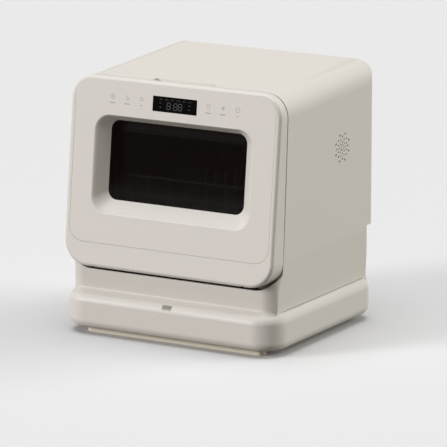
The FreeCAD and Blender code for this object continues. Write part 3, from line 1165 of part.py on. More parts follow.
def build_hinges():
    """Arms that reach forward from the cabinet's front wall, and the pins that the door turns on."""
    wall_y = "(-seam_front - (display_height - hinge_z) * tan(seam_lean) + shell_wall + arm_foot_thick)"
    foot_z = "(hinge_z - display_height) / cos(seam_lean)"
    arms = []
    pins = []
    for side, sign in SIDES:
        x = f"{sign} * hinge_side"
        span = (f"{x} - arm_thick / 2", f"{x} + arm_thick / 2")
        bar = box(side + "_arm_bar", span, ("hinge_y", wall_y),
                  ("hinge_z - arm_radius", "hinge_z + arm_radius"))
        eye = rod(side + "_arm_eye", "x", (span[0], "hinge_y", "hinge_z"), "arm_radius", "arm_thick")
        foot = body(side + "_arm_foot")
        pad(foot,
            rounded_rectangle(foot, side + "_arm_foot_outline", "XZ", "arm_foot", "arm_foot",
                              "arm_foot_thick",
                                    u=x, v=foot_z, offset="-shell_wall"), "arm_foot_thick", backwards=True)
        hole = rod(side + "_arm_hole", "x", (f"{x} - arm_thick", "hinge_y", "hinge_z"), "pin_radius",
                   "2 * arm_thick")
        arms.append(cut(side + "_arm_form", fuse(side + "_arm_blank", bar, eye, in_seam_frame(foot)), hole))
        reach = "arm_thick / 2 + arm_gap + boss_length"
        pins.append(rod(side + "_pin", "x", (f"{x} - ({reach})", "hinge_y", "hinge_z"), "pin_radius",
                        f"2 * ({reach})"))
    node("hinge_arms", holder("hinge_arm_set", *arms))
    node("hinge_pins", holder("hinge_pin_set", *pins))


# Rack


def build_rack():
    """Wire rack on glides, with a cutlery basket. Each wire is a rod that lies against the next."""
    cross_count, long_count, tine_count, slot_count = 7, 9, 12, 9
    deep = "(rack_front + rack_rear)"
    inner_half = "(rack_half - 2 * wire_radius)"
    cross_top = "rack_floor + wire_radius"
    long_top = "rack_floor + 3 * wire_radius"
    under_rim = "rack_rim - rim_radius"
    ends = (("front", "-rack_front", 1), ("rear", "rack_rear", -1))
    wires = []
    for count in range(cross_count):
        y = f"-rack_front + {deep} * {count / (cross_count - 1)}"
        wires.append(rod(f"cross_wire_{count}", "x", ("-rack_half - wire_radius", y, "rack_floor"),
                         "wire_radius",
                         "2 * (rack_half + wire_radius)"))
        for side, sign in SIDES:
            wires.append(rod(f"{side}_upright_{count}", "z", (f"{sign} * rack_half", y, cross_top),
                             "wire_radius",
                             f"{under_rim} - ({cross_top})"))
    long_wires = []
    for count in range(long_count):
        x = f"{inner_half} * {2 * count / (long_count - 1) - 1}"
        long_wires.append(rod(f"long_wire_{count}", "y",
                              (x, "-rack_front - wire_radius", f"{long_top} - wire_radius"),
                              "wire_radius", f"{deep} + 2 * wire_radius"))
        if 0 < count < long_count - 1:
            for end, y, inward in ends:
                wires.append(rod(f"{end}_upright_{count}", "z", (x, y, long_top), "wire_radius",
                                 f"{under_rim} - ({long_top})"))
    # The rim closes the top; the belt runs round inside the uprights, half-way up.
    for level, z, radius, inset in (("rim", "rack_rim", "rim_radius", "0"),
                                    ("belt", "(rack_rim + rack_floor) / 2", "wire_radius",
                                     "2 * wire_radius")):
        for side, sign in SIDES:
            wires.append(rod(f"{side}_{level}", "y",
                             (f"{sign} * (rack_half - {inset})", f"{inset} - rack_front - {radius}", z),
                             radius, f"{deep} + 2 * {radius} - 2 * {inset}"))
        for end, y, inward in ends:
            wires.append(rod(f"{end}_{level}", "x",
                             (f"{inset} + {radius} - rack_half", f"{y} + {inward} * {inset}", z),
                             radius, f"2 * (rack_half - {inset} - {radius})"))
    for line, share in (("near", 1 / 3), ("far", 2 / 3)):
        y = f"-rack_front + {deep} * {share}"
        for count in range(tine_count):
            x = f"{inner_half} * {(count + 0.5) / (long_count - 1) - 1}"
            wires.append(rod(f"{line}_tine_{count}", "z", (x, y, cross_top), "wire_radius",
                             f"tine_top - ({cross_top})"))
    node("dish_rack", holder("rack_form", *wires, *long_wires))
    glides = []
    for (side, sign), wire in zip(SIDES, (long_wires[0], long_wires[-1])):
        edges = sorted((f"{sign} * (rack_half - glide_gap)", f"{sign} * (rack_half + 2 * glide_gap)"),
                       key=number)
        for end, y in (("front", "-rack_front + glide_gap"),
                       ("rear", "rack_rear - glide_gap - glide_length")):
            block = box(f"{side}_{end}_glide", edges, (y, f"{y} + glide_length"),
                        ("runner_low + runner_thick", f"{long_top} + wire_radius"))
            glides.append(cut(f"{side}_{end}_glide_form", block, wire))
    node("rack_glides", holder("glide_set", *glides))
    x, y = ("basket_low_x", "basket_high_x"), ("basket_low_y", "basket_high_y")
    # The basket is clipped together from a floor, two end walls and two slotted side walls.
    above_floor = f"{long_top} + basket_wall"
    wall_z = (above_floor, f"{long_top} + basket_tall")
    between_ends = (f"{y[0]} + basket_wall", f"{y[1]} - basket_wall")
    panels = [box("basket_floor", x, y, (long_top, above_floor)),
              box("basket_front", x, (y[0], between_ends[0]), wall_z),
              box("basket_rear", x, (between_ends[1], y[1]), wall_z)]
    for side, edges in (("left", (x[0], f"{x[0]} + basket_wall")),
                        ("right", (f"{x[1]} - basket_wall", x[1]))):
        slots = []
        for count in range(slot_count):
            at = f"{y[0]} + ({y[1]} - {y[0]}) * {(count + 0.5) / slot_count}"
            slots.append(box(f"basket_{side}_slot_{count}", (f"{edges[0]} - 1", f"{edges[1]} + 1"),
                             (f"{at} - basket_slot / 2", f"{at} + basket_slot / 2"),
                             (f"{wall_z[0]} + basket_rim", f"{wall_z[1]} - basket_rim")))
        wall = box(f"basket_{side}", edges, between_ends, wall_z)
        panels.append(cut(f"basket_{side}_form", wall, *slots))
    node("cutlery_basket", holder("basket_form", *panels))


def check_and_write():
    """Stops at anything that failed to build, then writes one file for each sub-part."""
    for thing in doc.Objects:
        if "Invalid" in thing.State or "Error" in thing.State:
            raise RuntimeError(f"{thing.Name} ({thing.Label}) failed: {thing.State}")
    for name, thing in NODES.items():
        shape = thing.Shape
        if shape.isNull() or not shape.isValid() or not shape.Solids:
            raise RuntimeError(f"{name} is not a sound solid")
    os.makedirs("parts", exist_ok=True)
    for name, thing in NODES.items():
        thing.Shape.exportStep(f"parts/{name}.step")
        print(f"{name}: {len(thing.Shape.Solids)} solids, {thing.Shape.Volume / 1000:.1f} cm3")


def main():
    build_base()
    build_cabinet()
    build_tub()
    build_water()
    build_service()
    build_fan()
    build_controls()
    build_door()
    build_hinges()
    build_rack()
    doc.recompute()
    check_and_write()


main()
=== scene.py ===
"""Looks of the countertop dishwasher, built round its CAD frame.

The scene is in metres. Sizes are written in millimetres and scaled by MM.
"""
import json
import math

import bmesh
import bpy
from bpy.props import FloatProperty, FloatVectorProperty, IntProperty, PointerProperty
from bpy.types import NodeSocket, Operator, Panel, PropertyGroup, Scene
from mathutils import Matrix, Vector


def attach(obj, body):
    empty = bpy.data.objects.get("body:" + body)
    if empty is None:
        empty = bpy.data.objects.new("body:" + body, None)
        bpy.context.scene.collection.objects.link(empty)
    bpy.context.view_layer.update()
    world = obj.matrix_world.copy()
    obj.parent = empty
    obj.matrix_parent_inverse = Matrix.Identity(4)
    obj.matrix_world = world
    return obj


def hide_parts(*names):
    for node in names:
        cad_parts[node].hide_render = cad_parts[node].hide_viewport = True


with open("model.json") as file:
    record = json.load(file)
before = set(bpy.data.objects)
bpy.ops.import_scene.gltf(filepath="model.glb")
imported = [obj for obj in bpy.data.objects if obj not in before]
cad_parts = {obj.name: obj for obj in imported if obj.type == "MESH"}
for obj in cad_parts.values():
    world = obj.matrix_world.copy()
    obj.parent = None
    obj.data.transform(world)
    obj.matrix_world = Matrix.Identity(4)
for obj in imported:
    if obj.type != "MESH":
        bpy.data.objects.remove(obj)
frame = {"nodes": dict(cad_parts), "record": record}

bl_info = {
    "name": "Countertop dishwasher",
    "version": (1, 0, 0),
    "blender": (4, 5, 0),
    "location": "View3D > Sidebar > Dishwasher",
    "description": "Builds a countertop dishwasher's visible pieces on its CAD frame, and a studio",
    "category": "Object",
}

MM = 0.001
BODY_OF = {node: body for body, nodes in frame["record"]["behaviour"]["bodies"].items() for node in nodes}
DISPLAY_HEIGHT = 420.2 * MM
FACE_FRONT = 155.5 * MM
SEAM_FRONT = 130 * MM
# The door's front face and the seam behind the door lean back by different angles.
FACE_LEAN = math.radians(6.33)
SEAM_LEAN = math.radians(3.28)
# Print stands this far before the face that it is on.
PRINT_LIFT = 0.02 * MM
SHELL_COLOUR = "DAD6CE"
FOOT_COLOUR = "DED7C6"
PRINT_COLOUR = "8E8A84"
# Radius of a sieve's painted holes in pitches, and their colour, a painted shade.
HOLE_SHARE = 0.36
HOLE_SHADE_COLOUR = "141414"
# Rings of a screw's head and of its hexagon socket: radius in head radii, height in head heights.
HEAD_RINGS = ((1, 0), (1, 0.45), (0.88, 0.85), (0.68, 1))
SOCKET_RINGS = ((0.5, 1), (0.46, 0.35))
# Screws: radius and height of the head, radius and length of the shank.
BASE_SCREW = (3.2 * MM, 1.8 * MM, 1.6 * MM, 5.5 * MM)
REAR_SCREW = (3.4 * MM, 1.8 * MM, 1.5 * MM, 5 * MM)
DOOR_SCREW = (3.4 * MM, 1.2 * MM, 1.5 * MM, 2.5 * MM)


def leaning(front, lean):
    """Frame at the height of the display's middle, before the middle of the machine and tilted back."""
    return Matrix.Translation((0, -front, DISPLAY_HEIGHT)) @ Matrix.Rotation(-lean, 4, "X")


FACE = leaning(FACE_FRONT, FACE_LEAN)
SEAM = leaning(SEAM_FRONT, SEAM_LEAN)


# Materials


def linear(hex_colour):
    """An sRGB hex colour as the linear values that shaders take."""
    values = [int(hex_colour[i:i + 2], 16) / 255 for i in (0, 2, 4)]
    return (*(v / 12.92 if v <= 0.04045 else ((v + 0.055) / 1.055) ** 2.4 for v in values), 1)


def add(tree, kind, inputs=(), **settings):
    """A node of any kind; inputs are pairs of an input and its value or the socket that feeds it."""
    made = tree.nodes.new(kind)
    for name, value in settings.items():
        setattr(made, name, value)
    for name, value in inputs:
        if isinstance(value, NodeSocket):
            tree.links.new(made.inputs[name], value)
        else:
            made.inputs[name].default_value = value
    return made


def finish(name, colour, roughness, grain=None, bump=0.0, tint=0.0, stretch=(1, 1, 1), holes=None, **sockets):
    """A procedural finish.

    Grain is the size of its pattern and bump its depth in millimetres. Stretch draws the pattern out, tint is
    how far the roughness varies, and holes is the pitch in millimetres of holes painted on a grid as dots of
    dark shade.
    """
    made = bpy.data.materials.new(name)
    made.use_nodes = True
    tree = made.node_tree
    shader = tree.nodes["Principled BSDF"]
    shader.inputs["Base Color"].default_value = linear(colour)
    shader.inputs["Roughness"].default_value = roughness
    for socket, value in sockets.items():
        shader.inputs[socket.replace("_", " ")].default_value = value
    if grain:
        place = add(tree, "ShaderNodeTexCoord")
        scale = [value / (grain * MM) for value in stretch]
        scaled = add(tree, "ShaderNodeMapping", [("Vector", place.outputs["Object"]), ("Scale", scale)])
        pattern = add(tree, "ShaderNodeTexNoise", [("Vector", scaled.outputs["Vector"]), ("Scale", 1),
                                                   ("Detail", 2)])
        noise = pattern.outputs["Fac"]
        relief = add(tree, "ShaderNodeBump", [("Height", noise), ("Distance", bump * MM)])
        tree.links.new(shader.inputs["Normal"], relief.outputs["Normal"])
        if tint:
            spread = add(tree, "ShaderNodeMapRange", [("Value", noise), ("To Min", roughness - tint),
                                                      ("To Max", roughness + tint)])
            tree.links.new(shader.inputs["Roughness"], spread.outputs["Result"])
    if holes:
        value = add(tree, "ShaderNodeTexCoord").outputs["Object"]
        # Distance from the middle of a cell of the grid.
        for operation, inputs in (("SCALE", [("Scale", 1 / (holes * MM))]), ("FRACTION", []),
                                  ("SUBTRACT", [(1, (0.5, 0.5, 0.5))]), ("LENGTH", [])):
            step = add(tree, "ShaderNodeVectorMath", [(0, value), *inputs], operation=operation)
            value = step.outputs["Value" if operation == "LENGTH" else "Vector"]
        # Dots inside this radius take the painted shade of a hole.
        inside = add(tree, "ShaderNodeMath", [(0, value), (1, HOLE_SHARE)], operation="LESS_THAN")
        hole_shade_paint = add(tree, "ShaderNodeMix", [("Factor", inside.outputs["Value"]), ("A", linear(colour)),
                                            ("B", linear(HOLE_SHADE_COLOUR))], data_type="RGBA")
        tree.links.new(shader.inputs["Base Color"], hole_shade_paint.outputs["Result"])
    return made


# Each comment says what the finish gives the eye.
FINISHES = {
    # Warm white satin shell with a faint moulded grain that softens the highlights.
    "shell": finish("ABS moulded warm white", SHELL_COLOUR, 0.46, 0.9, 0.004, 0.04),
    # The same plastic with a finer grain, for the panel round the window.
    "panel": finish("ABS moulded warm white, fine", SHELL_COLOUR, 0.42, 0.7, 0.003, 0.03),
    # Mid-grey moulded parts of the water system.
    "grey": finish("Polypropylene moulded grey", "8D9092", 0.5, 0.8, 0.006, 0.05),
    # Pale inner door and cup, duller than the shell.
    "liner": finish("Polypropylene moulded pale grey", "C9C9C6", 0.48, 0.8, 0.005, 0.05),
    # Fine brushing across the tub, so that reflections spread sideways and its corners stay pale.
    "steel": finish("Stainless steel brushed", "C8C8C5", 0.38, 0.5, 0.0015, 0.07, (0.03, 1, 1),
                    Metallic=0.78),
    # Bright turned steel of screws, pins and arms.
    "bright": finish("Stainless steel turned", "C6C6C4", 0.26, 0.3, 0.001, 0.05, Metallic=1.0),
    # Punched steel sieve, grey at a distance and dotted near by with painted shade in its holes.
    "sieve": finish("Stainless steel perforated", "A9A9A7", 0.35, holes=2.4, Metallic=0.9),
    # Smooth nylon skin on the wires.
    "wire": finish("Nylon-coated wire", "D5D7D8", 0.35, 1.5, 0.004, 0.04),
    # Near-black window through which the rack only just shows.
    "smoked": finish("Glass tempered smoked", "0F0706", 0.04, Alpha=0.64, Specular_IOR_Level=0.12),
    # Clear pane inside the door.
    "clear": finish("Glass tempered clear", "E8F0EE", 0.03, Alpha=0.12, Specular_IOR_Level=0.3),
    # Polished black cover of the display.
    "display": finish("PMMA polished black", "080708", 0.12, Specular_IOR_Level=0.12),
    # Grey light window in the plinth.
    "lens": finish("PMMA smoked grey", "969287", 0.3, 1.0, 0.004, 0.03),
    # Dull black rubber of seal and hoses; it also paints the shade under the door and along the side seams.
    "rubber": finish("EPDM rubber black", "1E1E1F", 0.7, 0.6, 0.01, 0.06),
    # Cream rubber strip under the plinth.
    "foot": finish("TPE rubber cream", FOOT_COLOUR, 0.62, 0.6, 0.01, 0.05),
    # Dark enamel on the motor cans.
    "motor": finish("Steel enamelled dark grey", "3A3C3E", 0.38, 0.8, 0.006, 0.06),
    # Green lacquered laminate.
    "board": finish("Epoxy laminate green", "1F5A36", 0.4, 0.7, 0.006, 0.05),
    # Matt black socket.
    "socket": finish("Polyamide moulded black", "161617", 0.55, 0.7, 0.006, 0.05),
    # Flat grey print of the touch marks.
    "print": finish("Screen print warm grey", PRINT_COLOUR, 0.6),
    # Unlit segments, a little paler than the black that they stand in.
    "segment": finish("Display segments unlit", "3C3C3F", 0.5),
}
# Every node that isn't listed is a grey moulding.
CAD_FINISH = {
    "shell": "base_plinth cabinet_shell door_frame",
    "panel": "front_panel",
    "liner": "door_liner detergent_cup",
    "steel": "tub",
    "bright": "heater heater_clips base_screws rear_cover_screws door_screws hinge_arms hinge_pins",
    "sieve": "filter_plate filter_basket",
    "wire": "dish_rack",
    "smoked": "window_glass",
    "clear": "inner_pane",
    "display": "display_window",
    "lens": "status_lens",
    "rubber": "door_seal suction_hose drain_hose inlet_hose",
    "foot": "front_foot_rail rear_foot_rail",
    "motor": "pump_motor drain_motor",
    "board": "control_board touch_board",
    "socket": "mains_inlet",
}
FINISH_OF = dict.fromkeys(frame["nodes"], FINISHES["grey"])
for key, listed in CAD_FINISH.items():
    FINISH_OF.update(dict.fromkeys(listed.split(), FINISHES[key]))


# Mesh helpers


def placed(name, data):
    """A new object in the scene."""
    made = bpy.data.objects.new(name, data)
    bpy.context.scene.collection.objects.link(made)
    return made


def show(name, mesh, material, body, *replaced):
    """Puts a finished mesh in the scene on a body, in place of the CAD nodes that it stands for."""
    made = placed(name, mesh)
    mesh.materials.clear()
    mesh.materials.append(material)
    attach(made, body)
    if replaced:
        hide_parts(*replaced)


def evaluated(carrier):
    """A plain mesh of an object with its modifiers; the object itself goes."""
    graph = bpy.context.evaluated_depsgraph_get()
    whole = carrier.evaluated_get(graph)
    mesh = bpy.data.meshes.new_from_object(whole, preserve_all_data_layers=True, depsgraph=graph)
    bpy.data.objects.remove(carrier)
    return mesh


def even_shading(mesh, angle, width=0.0):
    """Rounds edges over an angle by a width in metres, and lets large faces set the shading."""
    carrier = placed("carrier", mesh)
    for polygon in mesh.polygons:
        polygon.use_smooth = True
    if width:
        bevel = carrier.modifiers.new("edge", "BEVEL")
        bevel.width = width
        bevel.segments = 2
        bevel.limit_method = "ANGLE"
        bevel.angle_limit = math.radians(angle)
        bevel.miter_outer = "MITER_ARC"
    mesh.set_sharp_from_angle(angle=math.radians(180 if width else angle))
    weighted = carrier.modifiers.new("shading", "WEIGHTED_NORMAL")
    weighted.keep_sharp = True
    return evaluated(carrier)


def clean_copy(node):
    """The node's mesh with its doubled points joined and its flat faces whole."""
    mesh = frame["nodes"][node].data.copy()
    if "custom_normal" in mesh.attributes:
        mesh.attributes.remove(mesh.attributes["custom_normal"])
    work = bmesh.new()
    work.from_mesh(mesh)
    bmesh.ops.remove_doubles(work, verts=work.verts, dist=1e-6)
    bmesh.ops.dissolve_limit(work, angle_limit=math.radians(0.5), verts=work.verts, edges=work.edges)
    work.to_mesh(mesh)
    work.free()
    return mesh


def smooth(node, angle=35, width=0.0, ending="_smooth"):
    """Shows a CAD node with even shading."""
    mesh = even_shading(clean_copy(node), angle, width)
    show(node + ending, mesh, FINISH_OF[node], BODY_OF[node], node)


def soften(node, width):
    """Shows a CAD node with small rounds on its sharp edges."""
    smooth(node, 40, width, "_soft")


def mesh_of(name, points, faces):
    """A mesh of points and faces."""
    mesh = bpy.data.meshes.new(name)
    mesh.from_pydata(points, [], faces)
    mesh.validate()
    return mesh


def rounded_loop(half, low, high, corner, steps=14):
    """Points of an upright rounded rectangle, the same number for any size."""
    points = []
    left, right, bottom, top = corner - half, half - corner, low + corner, high - corner
    for quarter, (x, z) in enumerate(((right, top), (left, top), (left, bottom), (right, bottom))):
        for step in range(steps + 1):
            turn = math.radians(90 * (quarter + step / steps))
            points.append((x + corner * math.cos(turn), z + corner * math.sin(turn)))
    return points


def skin(rings, sides, closed=False):
    """Faces over rings that have as many points as sides, with flat ends where the rings don't close."""
    faces = []
    for ring in range(rings if closed else rings - 1):
        near = ring * sides
        far = (ring + 1) % rings * sides
        for side in range(sides):
            beside = (side + 1) % sides
            faces.append((near + side, near + beside, far + beside, far + side))
    if not closed:
        faces.append(tuple(reversed(range(sides))))
        faces.append(tuple(range((rings - 1) * sides, rings * sides)))
    return faces


def headings(points, closed):
    """Direction of a path at each of its points."""
    last = len(points) - 1
    for index, point in enumerate(points):
        ahead = point if index == last and not closed else points[(index + 1) % len(points)]
        behind = points[index - 1] if closed or index else point
        yield (ahead - behind).normalized()


def tube(name, path, radius, sides=12, closed=False):
    """Round bar along a path of points, in metres, with flat ends."""
    points = [Vector(point) for point in path]
    across = None
    ring_points = []
    for point, heading in zip(points, headings(points, closed)):
        across = heading.orthogonal() if across is None else across - heading * across.dot(heading)
        across.normalize()
        other = heading.cross(across)
        for side in range(sides):
            turn = 2 * math.pi * side / sides
            ring_points.append(point + radius * (math.cos(turn) * across + math.sin(turn) * other))
    mesh = mesh_of(name, ring_points, skin(len(points), sides, closed))
    for polygon in mesh.polygons:
        polygon.use_smooth = len(polygon.vertices) == 4
    return mesh


def bent(points, radius, closed=False):
    """The points with each corner turned into an arc."""
    corners = [Vector(point) for point in points]
    count = len(corners)
    steps = 6
    path = []
    for index, corner in enumerate(corners):
        if not closed and index in (0, count - 1):
            path.append(corner)
            continue
        back = (corners[index - 1] - corner).normalized()
        ahead = (corners[(index + 1) % count] - corner).normalized()
        for step in range(steps + 1):
            share = step / steps
            start, end = corner + back * radius, corner + ahead * radius
            path.append(start * (1 - share) ** 2 + corner * (2 * share * (1 - share)) + end * share ** 2)
    return path


def joined(name, meshes):
    """One mesh of several."""
    work = bmesh.new()
    for mesh in meshes:
        work.from_mesh(mesh)
    whole = bpy.data.meshes.new(name)
    work.to_mesh(whole)
    work.free()
    return whole


def repeat_tree():
    """Geometry nodes that repeat a piece along one line and then along a second one."""
    tree = bpy.data.node_groups.new("Repeat on a grid", "GeometryNodeTree")
    for name, kind in (("Piece", "Geometry"), ("Count A", "Int"), ("Step A", "Vector"), ("Count B", "Int"),
                       ("Step B", "Vector"), ("Finish", "Material")):
        tree.interface.new_socket(name, in_out="INPUT", socket_type="NodeSocket" + kind)
    tree.interface.new_socket("Pieces", in_out="OUTPUT", socket_type="NodeSocketGeometry")
    given = add(tree, "NodeGroupInput")
    piece = given.outputs["Piece"]
    for letter in "AB":
        line = add(tree, "GeometryNodeMeshLine", [("Count", given.outputs["Count " + letter]),
                                                  ("Offset", given.outputs["Step " + letter])])
        copies = add(tree, "GeometryNodeInstanceOnPoints", [("Points", line.outputs["Mesh"]),
                                                            ("Instance", piece)])
        piece = copies.outputs["Instances"]
    real = add(tree, "GeometryNodeRealizeInstances", [("Geometry", piece)])
    painted = add(tree, "GeometryNodeSetMaterial", [("Geometry", real.outputs["Geometry"]),
                                                    ("Material", given.outputs["Finish"])])
    add(tree, "NodeGroupOutput", [("Pieces", painted.outputs["Geometry"])])
    return tree


REPEAT = repeat_tree()


def repeated(mesh, material, count_a, step_a, count_b=1, step_b=(0, 0, 0)):
    """A mesh repeated on a grid."""
    carrier = placed("carrier", mesh)
    modifier = carrier.modifiers.new("repeat", "NODES")
    modifier.node_group = REPEAT
    values = {"Count A": count_a, "Step A": step_a, "Count B": count_b, "Step B": step_b, "Finish": material}
    for item in REPEAT.interface.items_tree:
        if item.in_out == "INPUT" and item.name in values:
            modifier[item.identifier] = values[item.name]
    carrier.update_tag()
    return evaluated(carrier)


# Settings; a description that names two places gives the distance between them.


def length(name, description, millimetres):
    """A setting that is a length."""
    metres = millimetres * MM
    return FloatProperty(name=name, description=description, default=metres, unit="LENGTH", precision=5)


def tone(name, description, colour):
    """A setting that is a colour."""
    value = linear(colour)
    return FloatVectorProperty(name=name, description=description, default=value, subtype="COLOR", size=4,
                               min=0, max=1)


class ColourSettings(PropertyGroup):
    """Colours of what is in view."""
    shell: tone("Shell", "Colour of the cabinet, the plinth and the door", SHELL_COLOUR)
    foot: tone("Foot strip", "Colour of the rubber under the plinth", FOOT_COLOUR)
    marks: tone("Marks", "Colour of the print beside the display", PRINT_COLOUR)


class WindowSettings(PropertyGroup):
    """Front panel and the dished surround of its window, measured from the middle of the display."""
    panel_half: length("Panel half width", "From the middle to the panel's side edge", 200.17)
    panel_rise: length("Panel rise", "Panel's top edge over the display", 31.67)
    panel_drop: length("Panel drop", "Panel's lower edge below the display", 254.87)
    panel_corner: length("Panel corner", "Radius of the panel's corners", 28.17)
    panel_thick: length("Panel thickness", "Thickness of the panel", 3)
    mouth_half: length("Mouth half width", "Half width of the dish at the panel", 157)
    mouth_top: length("Mouth top", "Dish's upper edge below the display", 29)
    mouth_low: length("Mouth low", "Dish's lower edge below the display", 200.5)
    mouth_corner: length("Mouth corner", "Radius of the dish's corners", 29)
    glass_half: length("Glass half width", "Half width of the glass in view", 136)
    glass_top: length("Glass top", "Glass's upper edge below the display", 38)
    glass_low: length("Glass low", "Glass's lower edge below the display", 178)
    glass_corner: length("Glass corner", "Radius of the glass's corners", 17)
    depth: length("Dish depth", "Depth of the glass behind the panel's face", 20)
    wall: length("Dish wall", "Thickness of the dish", 2.2)
    edge: length("Edge round", "Round on the panel's outer edge", 0.6)
    display_half: length("Display half width", "Half width of the display", 44.2)
    display_rise: length("Display half height", "Half height of the display", 13.4)
    display_corner: length("Display corner", "Radius of the display's corners", 1.2)


class MarkSettings(PropertyGroup):
    """Touch marks and display segments."""
    first: length("First mark", "Inner marks from the display's middle", 66.6)
    second: length("Second mark", "Middle marks from the display's middle", 95.9)
    third: length("Third mark", "Outer marks from the display's middle", 124.8)
    rise: length("Mark rise", "Height of the marks over the display's middle", 4.5)
    label_drop: length("Label drop", "Label bars below the display's middle", 6.6)
    size: length("Mark size", "Half width of a mark", 4.2)
    line: length("Line width", "Width of a mark's line", 0.66)
    digit: length("Digit height", "Height of a digit on the display", 11.2)


class RackSettings(PropertyGroup):
    """Wire rack."""
    half: length("Half width", "Half width of the rack", 160)
    front: length("Front", "Front wires before the middle", 112)
    rear: length("Rear", "Rear wires behind the middle", 128)
    floor: length("Floor", "Height of the floor wires", 214)
    rim: length("Rim", "Height of the rim", 278)
    tine_top: length("Tine top", "Height of the tines' tips", 286)
    wire: length("Wire radius", "Radius of the coated wire", 1.6)
    rim_wire: length("Rim radius", "Radius of the rim's wire", 2.4)
    bend: length("Bend", "Radius of the wire bends", 8)
    rim_bend: length("Rim bend", "Radius of the rim's corners", 5)
    cross_count: IntProperty(name="Cross wires", description="Wires from side to side", default=7)
    long_count: IntProperty(name="Long wires", description="Wires from front to rear", default=9)
    tine_count: IntProperty(name="Tines", description="Tines in a row", default=12)


class SillSettings(PropertyGroup):
    """Dark lip that paints the shade in the gap under the door, measured in the seam frame."""
    half: length("Half width", "Half width of the door's room", 214)
    drop: length("Drop", "Sill below the display's middle", 306)
    corner: length("Corner", "Radius of the room's lower corners", 50.5)
    reach: length("Reach", "Half width over which the lip runs", 206)
    thick: length("Thickness", "Thickness of the lip", 0.7)
    chin_front: length("Chin front", "Chin's face before the middle", 169)
    chin_half: length("Chin half width", "Half width of the chin", 210)
    chin_corner: length("Chin corner", "Radius of the chin's upright corners", 32)
    setback: length("Setback", "Lip behind the chin's face", 1.5)
    lift: length("Lift", "Gap between the lip and the sill", 0.1)
    clear: length("Clear", "Gap between the lip and the seam", 0.2)


class FootSettings(PropertyGroup):
    """Cove at the chin's foot, and the thin black strip under the cabinet's sides that paints the shadow of
    the seam.
    """
    rise: length("Cove rise", "Height of the cove on the chin", 8)
    reach: length("Cove reach", "Reach of the cove over the plinth", 9)
    bend: FloatProperty(name="Cove bend", description="Turn in which the cove fades at the chin's corners",
                        default=math.radians(52), unit="ROTATION")
    base_half: length("Plinth half width", "Half width of the plinth", 216)
    base_front: length("Plinth front", "Plinth's face before the middle", 188)
    base_corner: length("Plinth corner", "Radius of the plinth's upright corners", 47)
    base_round: length("Plinth round", "Round on the plinth's top edge", 17)
    base_top: length("Plinth top", "Height of the plinth's top", 75)
    foot_half: length("Foot half width", "Half width of the cabinet on the plinth", 203.5)
    # The last four settings size the thin black strip that paints the shadow of the seam.
    seam_shadow_rise: length("Seam shadow rise", "Height of the seam shadow in view", 0.5)
    seam_shadow_out: length("Seam shadow reach", "Reach before the cabinet's side", 0.25)
    seam_shadow_front: length("Seam shadow front", "Front end of the seam shadow before the middle", 137)
    seam_shadow_rear: length("Seam shadow rear", "Rear end of the seam shadow behind the middle", 152)


class ScrewSettings(PropertyGroup):
    """Screws and the ribs of the rear cover."""
    base_side: length("Base side", "Outer base screws from the middle", 195.5)
    base_row: length("Base row", "Distance between the outer base screws", 92.125)
    base_end: length("Base end", "Front and rear base screws from the middle", 167.5)
    base_under: length("Base underside", "Height of the base screws' seats", 10.5)
    rear_side: length("Rear side", "Outer rear screws from the middle", 173)
    rear_middle: length("Rear middle", "Height of the rear cover's middle", 314)
    rear_row: length("Rear row", "Outer rear screws from the cover's middle", 76.2)
    rear_end: length("Rear end", "Upper and lower rear screws from the cover's middle", 127)
    rear_face: length("Rear face", "Rear screws' seats behind the middle", 182)
    door_side: length("Door side", "Door screws from the middle", 201.5)
    door_first: length("Door first", "Lowest door screws below the display's middle", 217.6)
    door_row: length("Door row", "Distance between door screws", 89.6)
    door_front: length("Door front", "Door screws' seats before the seam", 2)
    rib_long: length("Rib length", "Length of the rear cover's ribs", 250)
    rib_pitch: length("Rib pitch", "Distance between ribs", 14)
    rib_back: length("Rib back", "Ribs' centre lines behind the middle", 179.5)
    rib_radius: length("Rib radius", "Radius of a rib", 1.6)
    rib_count: IntProperty(name="Ribs", description="Ribs on the rear cover", default=13)


class EdgeSettings(PropertyGroup):
    """Small rounds on moulded edges."""
    shell: length("Shell edges", "Round on the shell's cut edges", 0.6)
    rim: length("Rim edges", "Round on the plinth's rim", 1.0)
    inner: length("Inner edges", "Round on the inner mouldings", 0.7)
    glass: length("Glass edges", "Round on the glass edges", 0.5)


class StageSettings(PropertyGroup):
    """Studio."""
    ambient: FloatProperty(name="Ambient", description="Strength of the even light all round", default=0.125)
    key: FloatProperty(name="Key", description="Strength of the light at the front left", default=2.4)
    top: FloatProperty(name="Top", description="Strength of the light overhead", default=2.15)
    rim: FloatProperty(name="Rim", description="Strength of the light at the rear right", default=2.1)
    lens: FloatProperty(name="Lens", description="Focal length on a 36 mm sensor", default=337.5)


# Builders


class BuildStep(Operator):
    """Shared base of the building steps"""
    bl_options = {"REGISTER"}

    def execute(self, context):
        self.build(context.scene)
        return {"FINISHED"}


class DressCad(BuildStep):
    """Gives every CAD node its finish"""
    bl_idname = "dishwasher.dress_cad"
    bl_label = "Dress the CAD nodes"

    def build(self, scene):
        colours = scene.dishwasher_colours
        for name, colour in (("shell", colours.shell), ("panel", colours.shell), ("foot", colours.foot),
                             ("print", colours.marks)):
            shader = FINISHES[name].node_tree.nodes["Principled BSDF"]
            shader.inputs["Base Color"].default_value = colour
        for name, node in frame["nodes"].items():
            node.data.materials.clear()
            node.data.materials.append(FINISH_OF[name])


